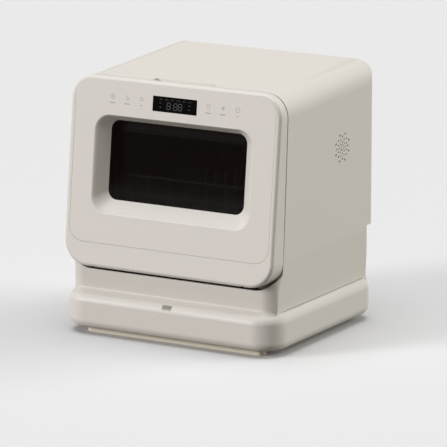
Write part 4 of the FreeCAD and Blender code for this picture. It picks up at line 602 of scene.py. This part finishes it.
class BuildWindow(BuildStep):
    """Front panel with the soft dished surround of the window"""
    bl_idname = "dishwasher.build_window"
    bl_label = "Front panel"

    def build(self, scene):
        size = scene.dishwasher_window

        def outline(inset):
            return rounded_loop(size.panel_half - inset, -size.panel_drop + inset, size.panel_rise - inset,
                                size.panel_corner - inset)

        def dish(share, grow=0.0):
            mouth = (size.mouth_half, size.mouth_low, size.mouth_top, size.mouth_corner)
            glass = (size.glass_half, size.glass_low, size.glass_top, size.glass_corner)
            half, low, top, corner = (near + (far - near) * share for near, far in zip(mouth, glass))
            return rounded_loop(half + grow, -low - grow, grow - top, corner + grow)

        work = bmesh.new()

        def ring(outline_points, depth):
            return [work.verts.new((x, depth, z)) for x, z in outline_points]

        def bridge(rings):
            for near, far in zip(rings, rings[1:]):
                for i in range(len(near)):
                    j = (i + 1) % len(near)
                    work.faces.new((near[i], near[j], far[j], far[i]))

        def fill(*rings):
            edges = []
            for points in rings:
                for pair in zip(points, points[1:] + points[:1]):
                    edges.append(work.edges.get(pair) or work.edges.new(pair))
            bmesh.ops.triangle_fill(work, edges=edges, use_beauty=True)

        edge_steps, bend_steps, wall_steps = 4, 10, 4
        rim = [ring(outline(0), size.panel_thick)]
        for step in range(edge_steps + 1):
            turn = math.radians(90 * step / edge_steps)
            rim.append(ring(outline(size.edge * (1 - math.cos(turn))), size.edge * (1 - math.sin(turn))))
        bridge(rim)
        # The dish leaves the panel in a soft bend and then runs straight to the glass; shares of its slope.
        start, bend = -0.1, 0.22
        profile = []
        for step in range(bend_steps + 1):
            share = step / bend_steps
            profile.append((start * (1 - share) ** 2 + bend * share ** 2, size.depth * bend * share ** 2))
        for step in range(1, wall_steps + 1):
            share = bend + (1 - bend) * step / wall_steps
            profile.append((share, size.depth * share))
        dished = [ring(dish(share), depth) for share, depth in profile]
        back_from = size.panel_thick / size.depth
        dished.append(ring(dish(1, size.wall), size.depth))
        dished.append(ring(dish(back_from, size.wall), size.panel_thick))
        bridge(dished)
        rise = size.display_rise
        display = rounded_loop(size.display_half, -rise, rise, size.display_corner, steps=4)
        hole = [ring(display, 0), ring(display, size.panel_thick)]
        bridge(hole)
        fill(rim[-1], dished[0], hole[0])
        fill(rim[0], dished[-1], hole[1])
        bmesh.ops.recalc_face_normals(work, faces=work.faces)
        mesh = bpy.data.meshes.new("front_panel_form")
        work.to_mesh(mesh)
        work.free()
        mesh.transform(FACE)
        show("front_panel_dished", even_shading(mesh, 50), FINISHES["panel"], "door", "front_panel")


def ribbon(points, width, closed=False):
    """Flat line of a width along points on the face: its points and its faces."""
    path = [Vector(point) for point in points]
    count = len(path)
    corners = []
    for point, heading in zip(path, headings(path, closed)):
        side = Vector((-heading.y, heading.x)) * width / 2
        corners += [point + side, point - side]
    faces = []
    for index in range(count if closed else count - 1):
        following = (index + 1) % count
        faces.append((2 * index, 2 * index + 1, 2 * following + 1, 2 * following))
    return corners, faces


def arc(x, z, radius, start, end, steps=20):
    """Points on an arc between two turns in degrees."""
    turns = [math.radians(start + (end - start) * step / steps) for step in range(steps + 1)]
    return [(x + radius * math.cos(turn), z + radius * math.sin(turn)) for turn in turns]


def flat_marks(name, ribbons, material):
    """Thin printed lines on the door's face, a little proud of it."""
    points, faces = [], []
    for corners, quads in ribbons:
        first = len(points)
        points += [(corner.x, -PRINT_LIFT, corner.y) for corner in corners]
        faces += [tuple(first + index for index in quad) for quad in quads]
    mesh = mesh_of(name, points, faces)
    mesh.transform(FACE)
    show(name, mesh, material, "door")


def touch_strokes():
    """Loops and open lines of the six touch marks from left to right, in half widths of a mark."""
    propeller, star = [], []
    for turn in (90, 210, 330):
        x, z = 0.4 * math.cos(math.radians(turn)), 0.4 * math.sin(math.radians(turn))
        propeller.append(arc(x, z, 0.42, turn - 60, turn + 150))
    for turn in (0, 60, 120):
        x, z = math.cos(math.radians(turn)), math.sin(math.radians(turn))
        star.append([(-x, -z), (x, z)])
    return (
        ([arc(0, 0, 1, 0, 342, 19)], [[(-0.5, 0.25), (0.5, 0.25)], [(-0.5, -0.25), (0.5, -0.25)]]),
        ([arc(0.45, -0.55, 0.45, 0, 330, 11)], [[(-0.7, 1), (0.2, -0.2)]]),
        ([], propeller),
        ([[(-0.6, -1), (-0.6, 0.9), (0.7, 0.9), (0.7, -1)]], [[(-0.2, 0.3), (0.3, 0.3)]]),
        ([], star),
        ([], [arc(0, 0, 1, 120, 420), [(0, 0.2), (0, 1.15)]]),
    )


class BuildMarks(BuildStep):
    """Touch marks beside the display, each with a bar under it"""
    bl_idname = "dishwasher.build_marks"
    bl_label = "Touch marks"

    def build(self, scene):
        size = scene.dishwasher_marks
        places = (-size.third, -size.second, -size.first, size.first, size.second, size.third)
        # Each set of three has a short bar at its right end.
        long_bar, short_bar = 1.25 * size.size, 0.45 * size.size
        bars = (long_bar, long_bar, short_bar) * 2
        ribbons = []
        for x, half, (loops, lines) in zip(places, bars, touch_strokes()):
            for closed, strokes in ((True, loops), (False, lines)):
                for points in strokes:
                    path = [(x + size.size * px, size.rise + size.size * pz) for px, pz in points]
                    ribbons.append(ribbon(path, size.line, closed))
            ends = [(x - half, -size.label_drop), (x + half, -size.label_drop)]
            ribbons.append(ribbon(ends, size.line * 2))
        flat_marks("touch_marks", ribbons, FINISHES["print"])


class BuildDisplay(BuildStep):
    """Unlit figures and signs behind the display's cover"""
    bl_idname = "dishwasher.build_display"
    bl_label = "Display figures"

    def build(self, scene):
        size = scene.dishwasher_marks
        thick, fine = size.line * 1.33, size.line * 0.58
        tall, wide = size.digit, size.digit * 0.6
        lean, gap = 0.08, 0.07
        digits, colon, level = (-12.2 * MM, 1.4 * MM, 10.8 * MM), -5.3 * MM, -2.4 * MM
        sign_count, sign_pitch, sign_level, sign_radius = 6, 11.6 * MM, 8.2 * MM, 1.3 * MM
        side, side_levels = 29 * MM, (1.6 * MM, -5.4 * MM)
        colon_half, sign_half, side_half = 0.5 * MM, 1.5 * MM, 2 * MM
        ribbons = []

        def dash(x, z, half, width):
            ribbons.append(ribbon([(x - half, z), (x + half, z)], width))

        # Segments in shares of a digit's width and height.
        bars = [((-0.5 + gap, h), (0.5 - gap, h)) for h in (-0.5, 0, 0.5)]
        bars += [((x, low + gap), (x, low + 0.5 - gap)) for x in (-0.5, 0.5) for low in (-0.5, 0)]
        for x in digits:
            for points in bars:
                path = [(x + px * wide + pz * tall * lean, level + pz * tall) for px, pz in points]
                ribbons.append(ribbon(path, thick))
        for h in (-0.2, 0.2):
            dash(colon, level + h * tall, colon_half, thick)
        for index in range(sign_count):
            x = index * sign_pitch - side
            ribbons.append(ribbon(arc(x, sign_level, sign_radius, 0, 300, 10), fine))
            dash(x + 3 * sign_radius, sign_level, sign_half, fine)
        for x in (-side, side):
            for z in side_levels:
                dash(x, z, side_half, size.line)
        flat_marks("display_figures", ribbons, FINISHES["segment"])


class BuildShells(BuildStep):
    """Cabinet, plinth, door frame and glass with softened edges"""
    bl_idname = "dishwasher.build_shells"
    bl_label = "Shells"

    def build(self, scene):
        size = scene.dishwasher_edges
        for node in ("cabinet_shell", "door_frame"):
            smooth(node)
        for node in ("status_lens", "front_foot_rail", "rear_foot_rail"):
            soften(node, size.shell)
        soften("base_plinth", size.rim)
        for node in ("window_glass", "inner_pane", "display_window"):
            soften(node, size.glass)


class BuildInside(BuildStep):
    """Mouldings of the wash space with softened edges"""
    bl_idname = "dishwasher.build_inside"
    bl_label = "Wash space"

    def build(self, scene):
        width = scene.dishwasher_edges.inner
        for node in ("lower_spray_arm", "upper_spray_arm", "spray_arm_cap", "upper_arm_cap", "rack_runners",
                     "rack_glides", "detergent_cup", "latch_tongue", "hinge_arms", "filter_plate"):
            soften(node, width)
        for node in ("tub", "door_liner", "door_seal", "filter_basket", "heater", "spray_hub"):
            smooth(node)


class BuildRack(BuildStep):
    """Wire rack of bent, coated wires"""
    bl_idname = "dishwasher.build_rack"
    bl_label = "Dish rack"

    def build(self, scene):
        size = scene.dishwasher_rack
        coat = FINISHES["wire"]
        deep = size.front + size.rear
        upper = size.floor + 2 * size.wire
        inner = size.half - 2 * size.wire
        pitch = 2 * inner / (size.long_count - 1)

        def hoop(name, start, end, low):
            """Wire that drops from the rim at two places and runs along the floor between them."""
            corners = [(*start, size.rim), (*start, low), (*end, low), (*end, size.rim)]
            return tube(name, bent(corners, size.bend), size.wire)

        cross = hoop("cross_wire", (-size.half, -size.front), (size.half, -size.front), size.floor)
        along = hoop("long_wire", (-inner, -size.front), (-inner, size.rear), upper)
        # The flat ends of the tines stay a little under their tips.
        tip = size.tine_top - size.wire * 0.6
        x, y = pitch / 4 - inner, deep / 3 - size.front
        tine = tube("tine", [(x, y, size.floor), (x, y, tip)], size.wire)
        parts = [repeated(cross, coat, size.cross_count, (0, deep / (size.cross_count - 1), 0)),
                 repeated(along, coat, size.long_count, (pitch, 0, 0)),
                 repeated(tine, coat, size.tine_count, (pitch / 2, 0, 0), 2, (0, deep / 3, 0))]
        for height, radius, inset in ((size.rim, size.rim_wire, 0),
                                      ((size.rim + size.floor) / 2, size.wire, 2 * size.wire)):
            half, front, rear = size.half - inset, size.front - inset, size.rear - inset
            plan = ((-half, -front), (half, -front), (half, rear), (-half, rear))
            path = bent([(x, y, height) for x, y in plan], size.rim_bend, closed=True)
            parts.append(tube("rim", path, radius, closed=True))
        show("dish_rack_wires", joined("rack_wires", parts), coat, "rack", "dish_rack")


class BuildSillShade(BuildStep):
    """Dark lip on the sill with round ends, which paints the shade in the gap under the door"""
    bl_idname = "dishwasher.build_sill"
    bl_label = "Sill shade strip"

    def build(self, scene):
        size = scene.dishwasher_sill
        steps = 30
        path = []
        for centre_x, start in ((size.corner - size.half, 180), (size.half - size.corner, 270)):
            for step in range(steps + 1):
                turn = math.radians(start + 90 * step / steps)
                path.append((centre_x, math.cos(turn), math.sin(turn)))
        points = []
        for centre_x, out_x, out_z in path:
            x = centre_x + size.corner * out_x
            if abs(x) > size.reach:
                continue
            z = size.corner * (1 + out_z) - size.drop
            past = max(0.0, abs(x) - size.chin_half + size.chin_corner)
            back = size.chin_corner - math.sqrt(size.chin_corner ** 2 - past ** 2)
            face = back - size.chin_front + size.setback
            front = (face - SEAM.translation.y - z * math.sin(SEAM_LEAN)) / math.cos(SEAM_LEAN)
            for depth, rise in ((front, size.lift), (front, size.thick), (-size.clear, size.thick),
                                (-size.clear, size.lift)):
                points.append((x - out_x * rise, depth, z - out_z * rise))
        mesh = mesh_of("sill_shade_strip", points, skin(len(points) // 4, 4))
        mesh.transform(SEAM)
        # The black rubber finish here paints the shade that fills the gap under the door.
        show("sill_shade_strip", mesh, FINISHES["rubber"], "cabinet")


class BuildFoot(BuildStep):
    """Cove between the chin and the plinth, and the thin black strip under the cabinet's sides that paints
    the seam's shadow
    """
    bl_idname = "dishwasher.build_foot"
    bl_label = "Chin foot"

    def build(self, scene):
        size = scene.dishwasher_foot
        chin = scene.dishwasher_sill

        def shoulder(x, y):
            """Distance in from the plinth's outline, and the height and the fall of its top there."""
            past_x = max(0.0, abs(x) - size.base_half + size.base_corner)
            past_y = max(0.0, -y - size.base_front + size.base_corner)
            inward = size.base_corner - math.hypot(past_x, past_y)
            over = max(0.0, size.base_round - inward)
            upright = math.sqrt(size.base_round ** 2 - over ** 2)
            return inward, size.base_top - size.base_round + upright, over / upright

        sunk, heel = 0.05 * MM, 1 * MM
        stations, curve = 13, 9
        # The cove fades to a small share of its size, and covers no more than a share of the plinth's ledge.
        least, most = 0.05, 0.6
        points = []
        for side in (-1, 1):
            for step in range(stations):
                share = step / (stations - 1)
                share = share if side > 0 else 1 - share
                turn = side * share * size.bend
                out = Vector((math.sin(turn), -math.cos(turn), 0))
                x, y = side * (chin.chin_half - chin.chin_corner), chin.chin_corner - chin.chin_front
                face = Vector((x, y, size.base_top)) + chin.chin_corner * out
                fade = max(least, 1 - share ** 2)
                reach = fade * min(size.reach, most * shoulder(face.x, face.y)[0])
                foot = face + reach * out
                level, fall = shoulder(foot.x, foot.y)[1:]
                foot.z = level - sunk
                head = face - sunk * out + Vector((0, 0, size.rise * fade))
                hollow = Vector((face.x, face.y, foot.z + fall * reach)).lerp((head + foot) / 2, share)
                for index in range(curve):
                    t = index / (curve - 1)
                    points.append(head * (1 - t) ** 2 + hollow * (2 * t * (1 - t)) + foot * t ** 2)
                points.append(Vector((face.x, face.y, foot.z - heel)) - heel * out)
        cove = mesh_of("chin_cove", points, skin(2 * stations, curve + 1))
        show("chin_cove", even_shading(cove, 60), FINISHES["shell"], "cabinet")

        # A thin black strip along each side paints the shadow line of the seam between the cabinet and the
        # plinth.
        strips = []
        low = size.base_top + sunk
        high = low + size.seam_shadow_rise
        section = ((-size.seam_shadow_front, low), (size.seam_shadow_rear, low), (size.seam_shadow_rear, high),
                   (-size.seam_shadow_front, high))
        for middle in (-size.foot_half, size.foot_half):
            across = (middle - size.seam_shadow_out, middle + size.seam_shadow_out)
            strips.append(mesh_of("seam_shadow_strip", [(x, y, z) for x in across for y, z in section], skin(2, 4)))
        show("side_seam_shadows", joined("side_seam_shadows", strips), FINISHES["rubber"], "cabinet")


def screw(name, head, thick, shank, length_of_shank):
    """Pan-head screw with a hexagon socket; its head looks up and sits on z = 0."""
    sides = 24
    turns = [2 * math.pi * side / sides for side in range(sides)]

    def circle(radius, z):
        return [(radius * math.cos(turn), radius * math.sin(turn), z) for turn in turns]

    def hexagon(radius, z):
        flat = radius * math.cos(math.pi / 6)
        reach = [flat / math.cos(turn % (math.pi / 3) - math.pi / 6) for turn in turns]
        return [(r * math.cos(turn), r * math.sin(turn), z) for r, turn in zip(reach, turns)]

    rings = [circle(shank, -length_of_shank), circle(shank, 0)]
    rings += [circle(head * share, thick * height) for share, height in HEAD_RINGS]
    rings += [hexagon(head * share, thick * height) for share, height in SOCKET_RINGS]
    points = [point for ring in rings for point in ring]
    return even_shading(mesh_of(name, points, skin(len(rings), sides)), 35)


class BuildScrews(BuildStep):
    """Screws of the base, the rear cover and the door, and the ribs of the rear cover"""
    bl_idname = "dishwasher.build_screws"
    bl_label = "Screws and rear ribs"

    def build(self, scene):
        size = scene.dishwasher_screws
        bright = FINISHES["bright"]

        def moved(mesh, *place):
            copy = mesh.copy()
            copy.transform(Matrix.Translation(place))
            return copy

        to_rear = Matrix.Rotation(-math.pi / 2, 4, "X")
        down = screw("base_screw", *BASE_SCREW)
        down.transform(Matrix.Translation((0, 0, size.base_under)) @ Matrix.Rotation(math.pi, 4, "X"))
        outer = moved(down, -size.base_side, -size.base_row, 0)
        ends = moved(down, 0, -size.base_end, 0)
        parts = [repeated(outer, bright, 2, (2 * size.base_side, 0, 0), 3, (0, size.base_row, 0)),
                 repeated(ends, bright, 2, (0, 2 * size.base_end, 0))]
        show("base_screw_heads", joined("base_screw_heads", parts), bright, "cabinet", "base_screws")

        rear = screw("rear_screw", *REAR_SCREW)
        rear.transform(Matrix.Translation((0, size.rear_face, size.rear_middle)) @ to_rear)
        outer = moved(rear, -size.rear_side, 0, -size.rear_row)
        ends = moved(rear, 0, 0, -size.rear_end)
        parts = [repeated(outer, bright, 2, (2 * size.rear_side, 0, 0), 2, (0, 0, 2 * size.rear_row)),
                 repeated(ends, bright, 2, (0, 0, 2 * size.rear_end))]
        show("rear_screw_heads", joined("rear_screw_heads", parts), bright, "cabinet", "rear_cover_screws")

        inner = screw("door_screw", *DOOR_SCREW)
        inner.transform(Matrix.Translation((-size.door_side, -size.door_front, -size.door_first)) @ to_rear)
        row = repeated(inner, bright, 2, (2 * size.door_side, 0, 0), 3, (0, 0, size.door_row))
        row.transform(SEAM)
        show("door_screw_heads", row, bright, "door", "door_screws")

        half = size.rib_long / 2
        low = size.rear_middle - size.rib_pitch * (size.rib_count - 1) / 2
        ends = [(-half, size.rib_back, low), (half, size.rib_back, low)]
        rib = tube("rib", ends, size.rib_radius, sides=16)
        ribs = repeated(rib, FINISHES["grey"], size.rib_count, (0, 0, size.rib_pitch))
        show("rear_ribs", ribs, FINISHES["grey"], "cabinet")


class BuildStage(BuildStep):
    """Pale floor, soft lights and the camera"""
    bl_idname = "dishwasher.build_stage"
    bl_label = "Studio"

    def build(self, scene):
        size = scene.dishwasher_stage
        edge = 9
        plan = ((-edge, -edge, 0), (edge, -edge, 0), (edge, edge, 0), (-edge, edge, 0))
        floor_mesh = mesh_of("floor", plan, [(0, 1, 2, 3)])
        floor = placed("floor", floor_mesh)
        floor_mesh.materials.append(finish("Backdrop paper pale grey", "D8D8D8", 0.9))
        # The paper sends no light back up, so that the machine's corners keep their shade.
        floor.visible_diffuse = False
        world = bpy.data.worlds.new("Studio") if scene.world is None else scene.world
        scene.world = world
        world.use_nodes = True
        tree = world.node_tree
        sky = tree.nodes["Background"]
        sky.inputs["Color"].default_value = linear("FFF2DE")
        sky.inputs["Strength"].default_value = size.ambient
        # Past the floor's edge the camera sees a backdrop as pale as the floor; it gives no light.
        backdrop = add(tree, "ShaderNodeBackground", [("Color", linear("EBEBEB"))])
        ray = add(tree, "ShaderNodeLightPath")
        seen = add(tree, "ShaderNodeMixShader", [("Fac", ray.outputs["Is Camera Ray"]),
                                                 (1, sky.outputs["Background"]),
                                                 (2, backdrop.outputs["Background"])])
        tree.links.new(tree.nodes["World Output"].inputs["Surface"], seen.outputs["Shader"])
        # Wide suns light the floor as evenly as the machine; none stands near the camera.
        suns = (("key", (-0.62, -0.73, 0.28), 22, size.key, "FFFDFF"),
                ("top", (0.0, -0.04, 1.0), 50, size.top, "F7FAFF"),
                ("rim", (0.75, 0.55, 0.37), 50, size.rim, "FFFEFA"))
        for name, place, spread, strength, colour in suns:
            lamp = bpy.data.lights.new(name, "SUN")
            lamp.angle = math.radians(spread)
            lamp.energy = strength
            lamp.color = linear(colour)[:3]
            light = placed(name, lamp)
            light.rotation_euler = Vector(place).to_track_quat("Z", "Y").to_euler()
            # The low rear light fills the side without a sheen on the top.
            light.visible_glossy = name != "rim"
        # The camera looks from the right and a little from above, past the display's middle.
        azimuth, elevation = math.radians(30.06), math.radians(12.82)
        aside, below, distance, far = 83.824 * MM, 202.696 * MM, 7205.12 * MM, 60
        right = Vector((math.cos(azimuth), math.sin(azimuth), 0))
        level = math.cos(elevation)
        away = Vector((math.sin(azimuth) * level, -math.cos(azimuth) * level, math.sin(elevation)))
        up = away.cross(right)
        camera = placed("camera", bpy.data.cameras.new("camera"))
        camera.data.sensor_width = 36
        camera.data.lens = size.lens
        camera.data.clip_end = far
        camera.location = FACE.translation + aside * right - below * up + distance * away
        camera.rotation_mode = "QUATERNION"
        camera.rotation_quaternion = Matrix((right, up, away)).transposed().to_quaternion()
        scene.camera = camera
        scene.view_settings.view_transform = "Standard"


class DishwasherPanel(Panel):
    """Settings and building steps of the dishwasher"""
    bl_idname = "VIEW3D_PT_dishwasher"
    bl_label = "Dishwasher"
    bl_space_type = "VIEW_3D"
    bl_region_type = "UI"
    bl_category = "Dishwasher"

    def draw(self, context):
        for step in STEPS:
            self.layout.operator(step.bl_idname)
        for name in SETTINGS:
            group = getattr(context.scene, name)
            box = self.layout.box()
            for key in group.bl_rna.properties.keys():
                if key not in {"rna_type", "name"}:
                    box.prop(group, key)


STEPS = (DressCad, BuildShells, BuildWindow, BuildMarks, BuildDisplay, BuildSillShade, BuildFoot, BuildInside,
         BuildRack, BuildScrews, BuildStage)
SETTINGS = {
    "dishwasher_colours": ColourSettings,
    "dishwasher_window": WindowSettings,
    "dishwasher_marks": MarkSettings,
    "dishwasher_rack": RackSettings,
    "dishwasher_sill": SillSettings,
    "dishwasher_foot": FootSettings,
    "dishwasher_screws": ScrewSettings,
    "dishwasher_edges": EdgeSettings,
    "dishwasher_stage": StageSettings,
}


def register():
    for group in SETTINGS.values():
        bpy.utils.register_class(group)
    for step in STEPS:
        bpy.utils.register_class(step)
    bpy.utils.register_class(DishwasherPanel)
    for name, group in SETTINGS.items():
        setattr(Scene, name, PointerProperty(type=group))


def unregister():
    for name in SETTINGS:
        delattr(Scene, name)
    bpy.utils.unregister_class(DishwasherPanel)
    for known in (*reversed(STEPS), *reversed(SETTINGS.values())):
        bpy.utils.unregister_class(known)


def main():
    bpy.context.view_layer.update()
    register()
    for step in STEPS:
        family, name = step.bl_idname.split(".")
        getattr(getattr(bpy.ops, family), name)()


if __name__ == "__main__":
    main()
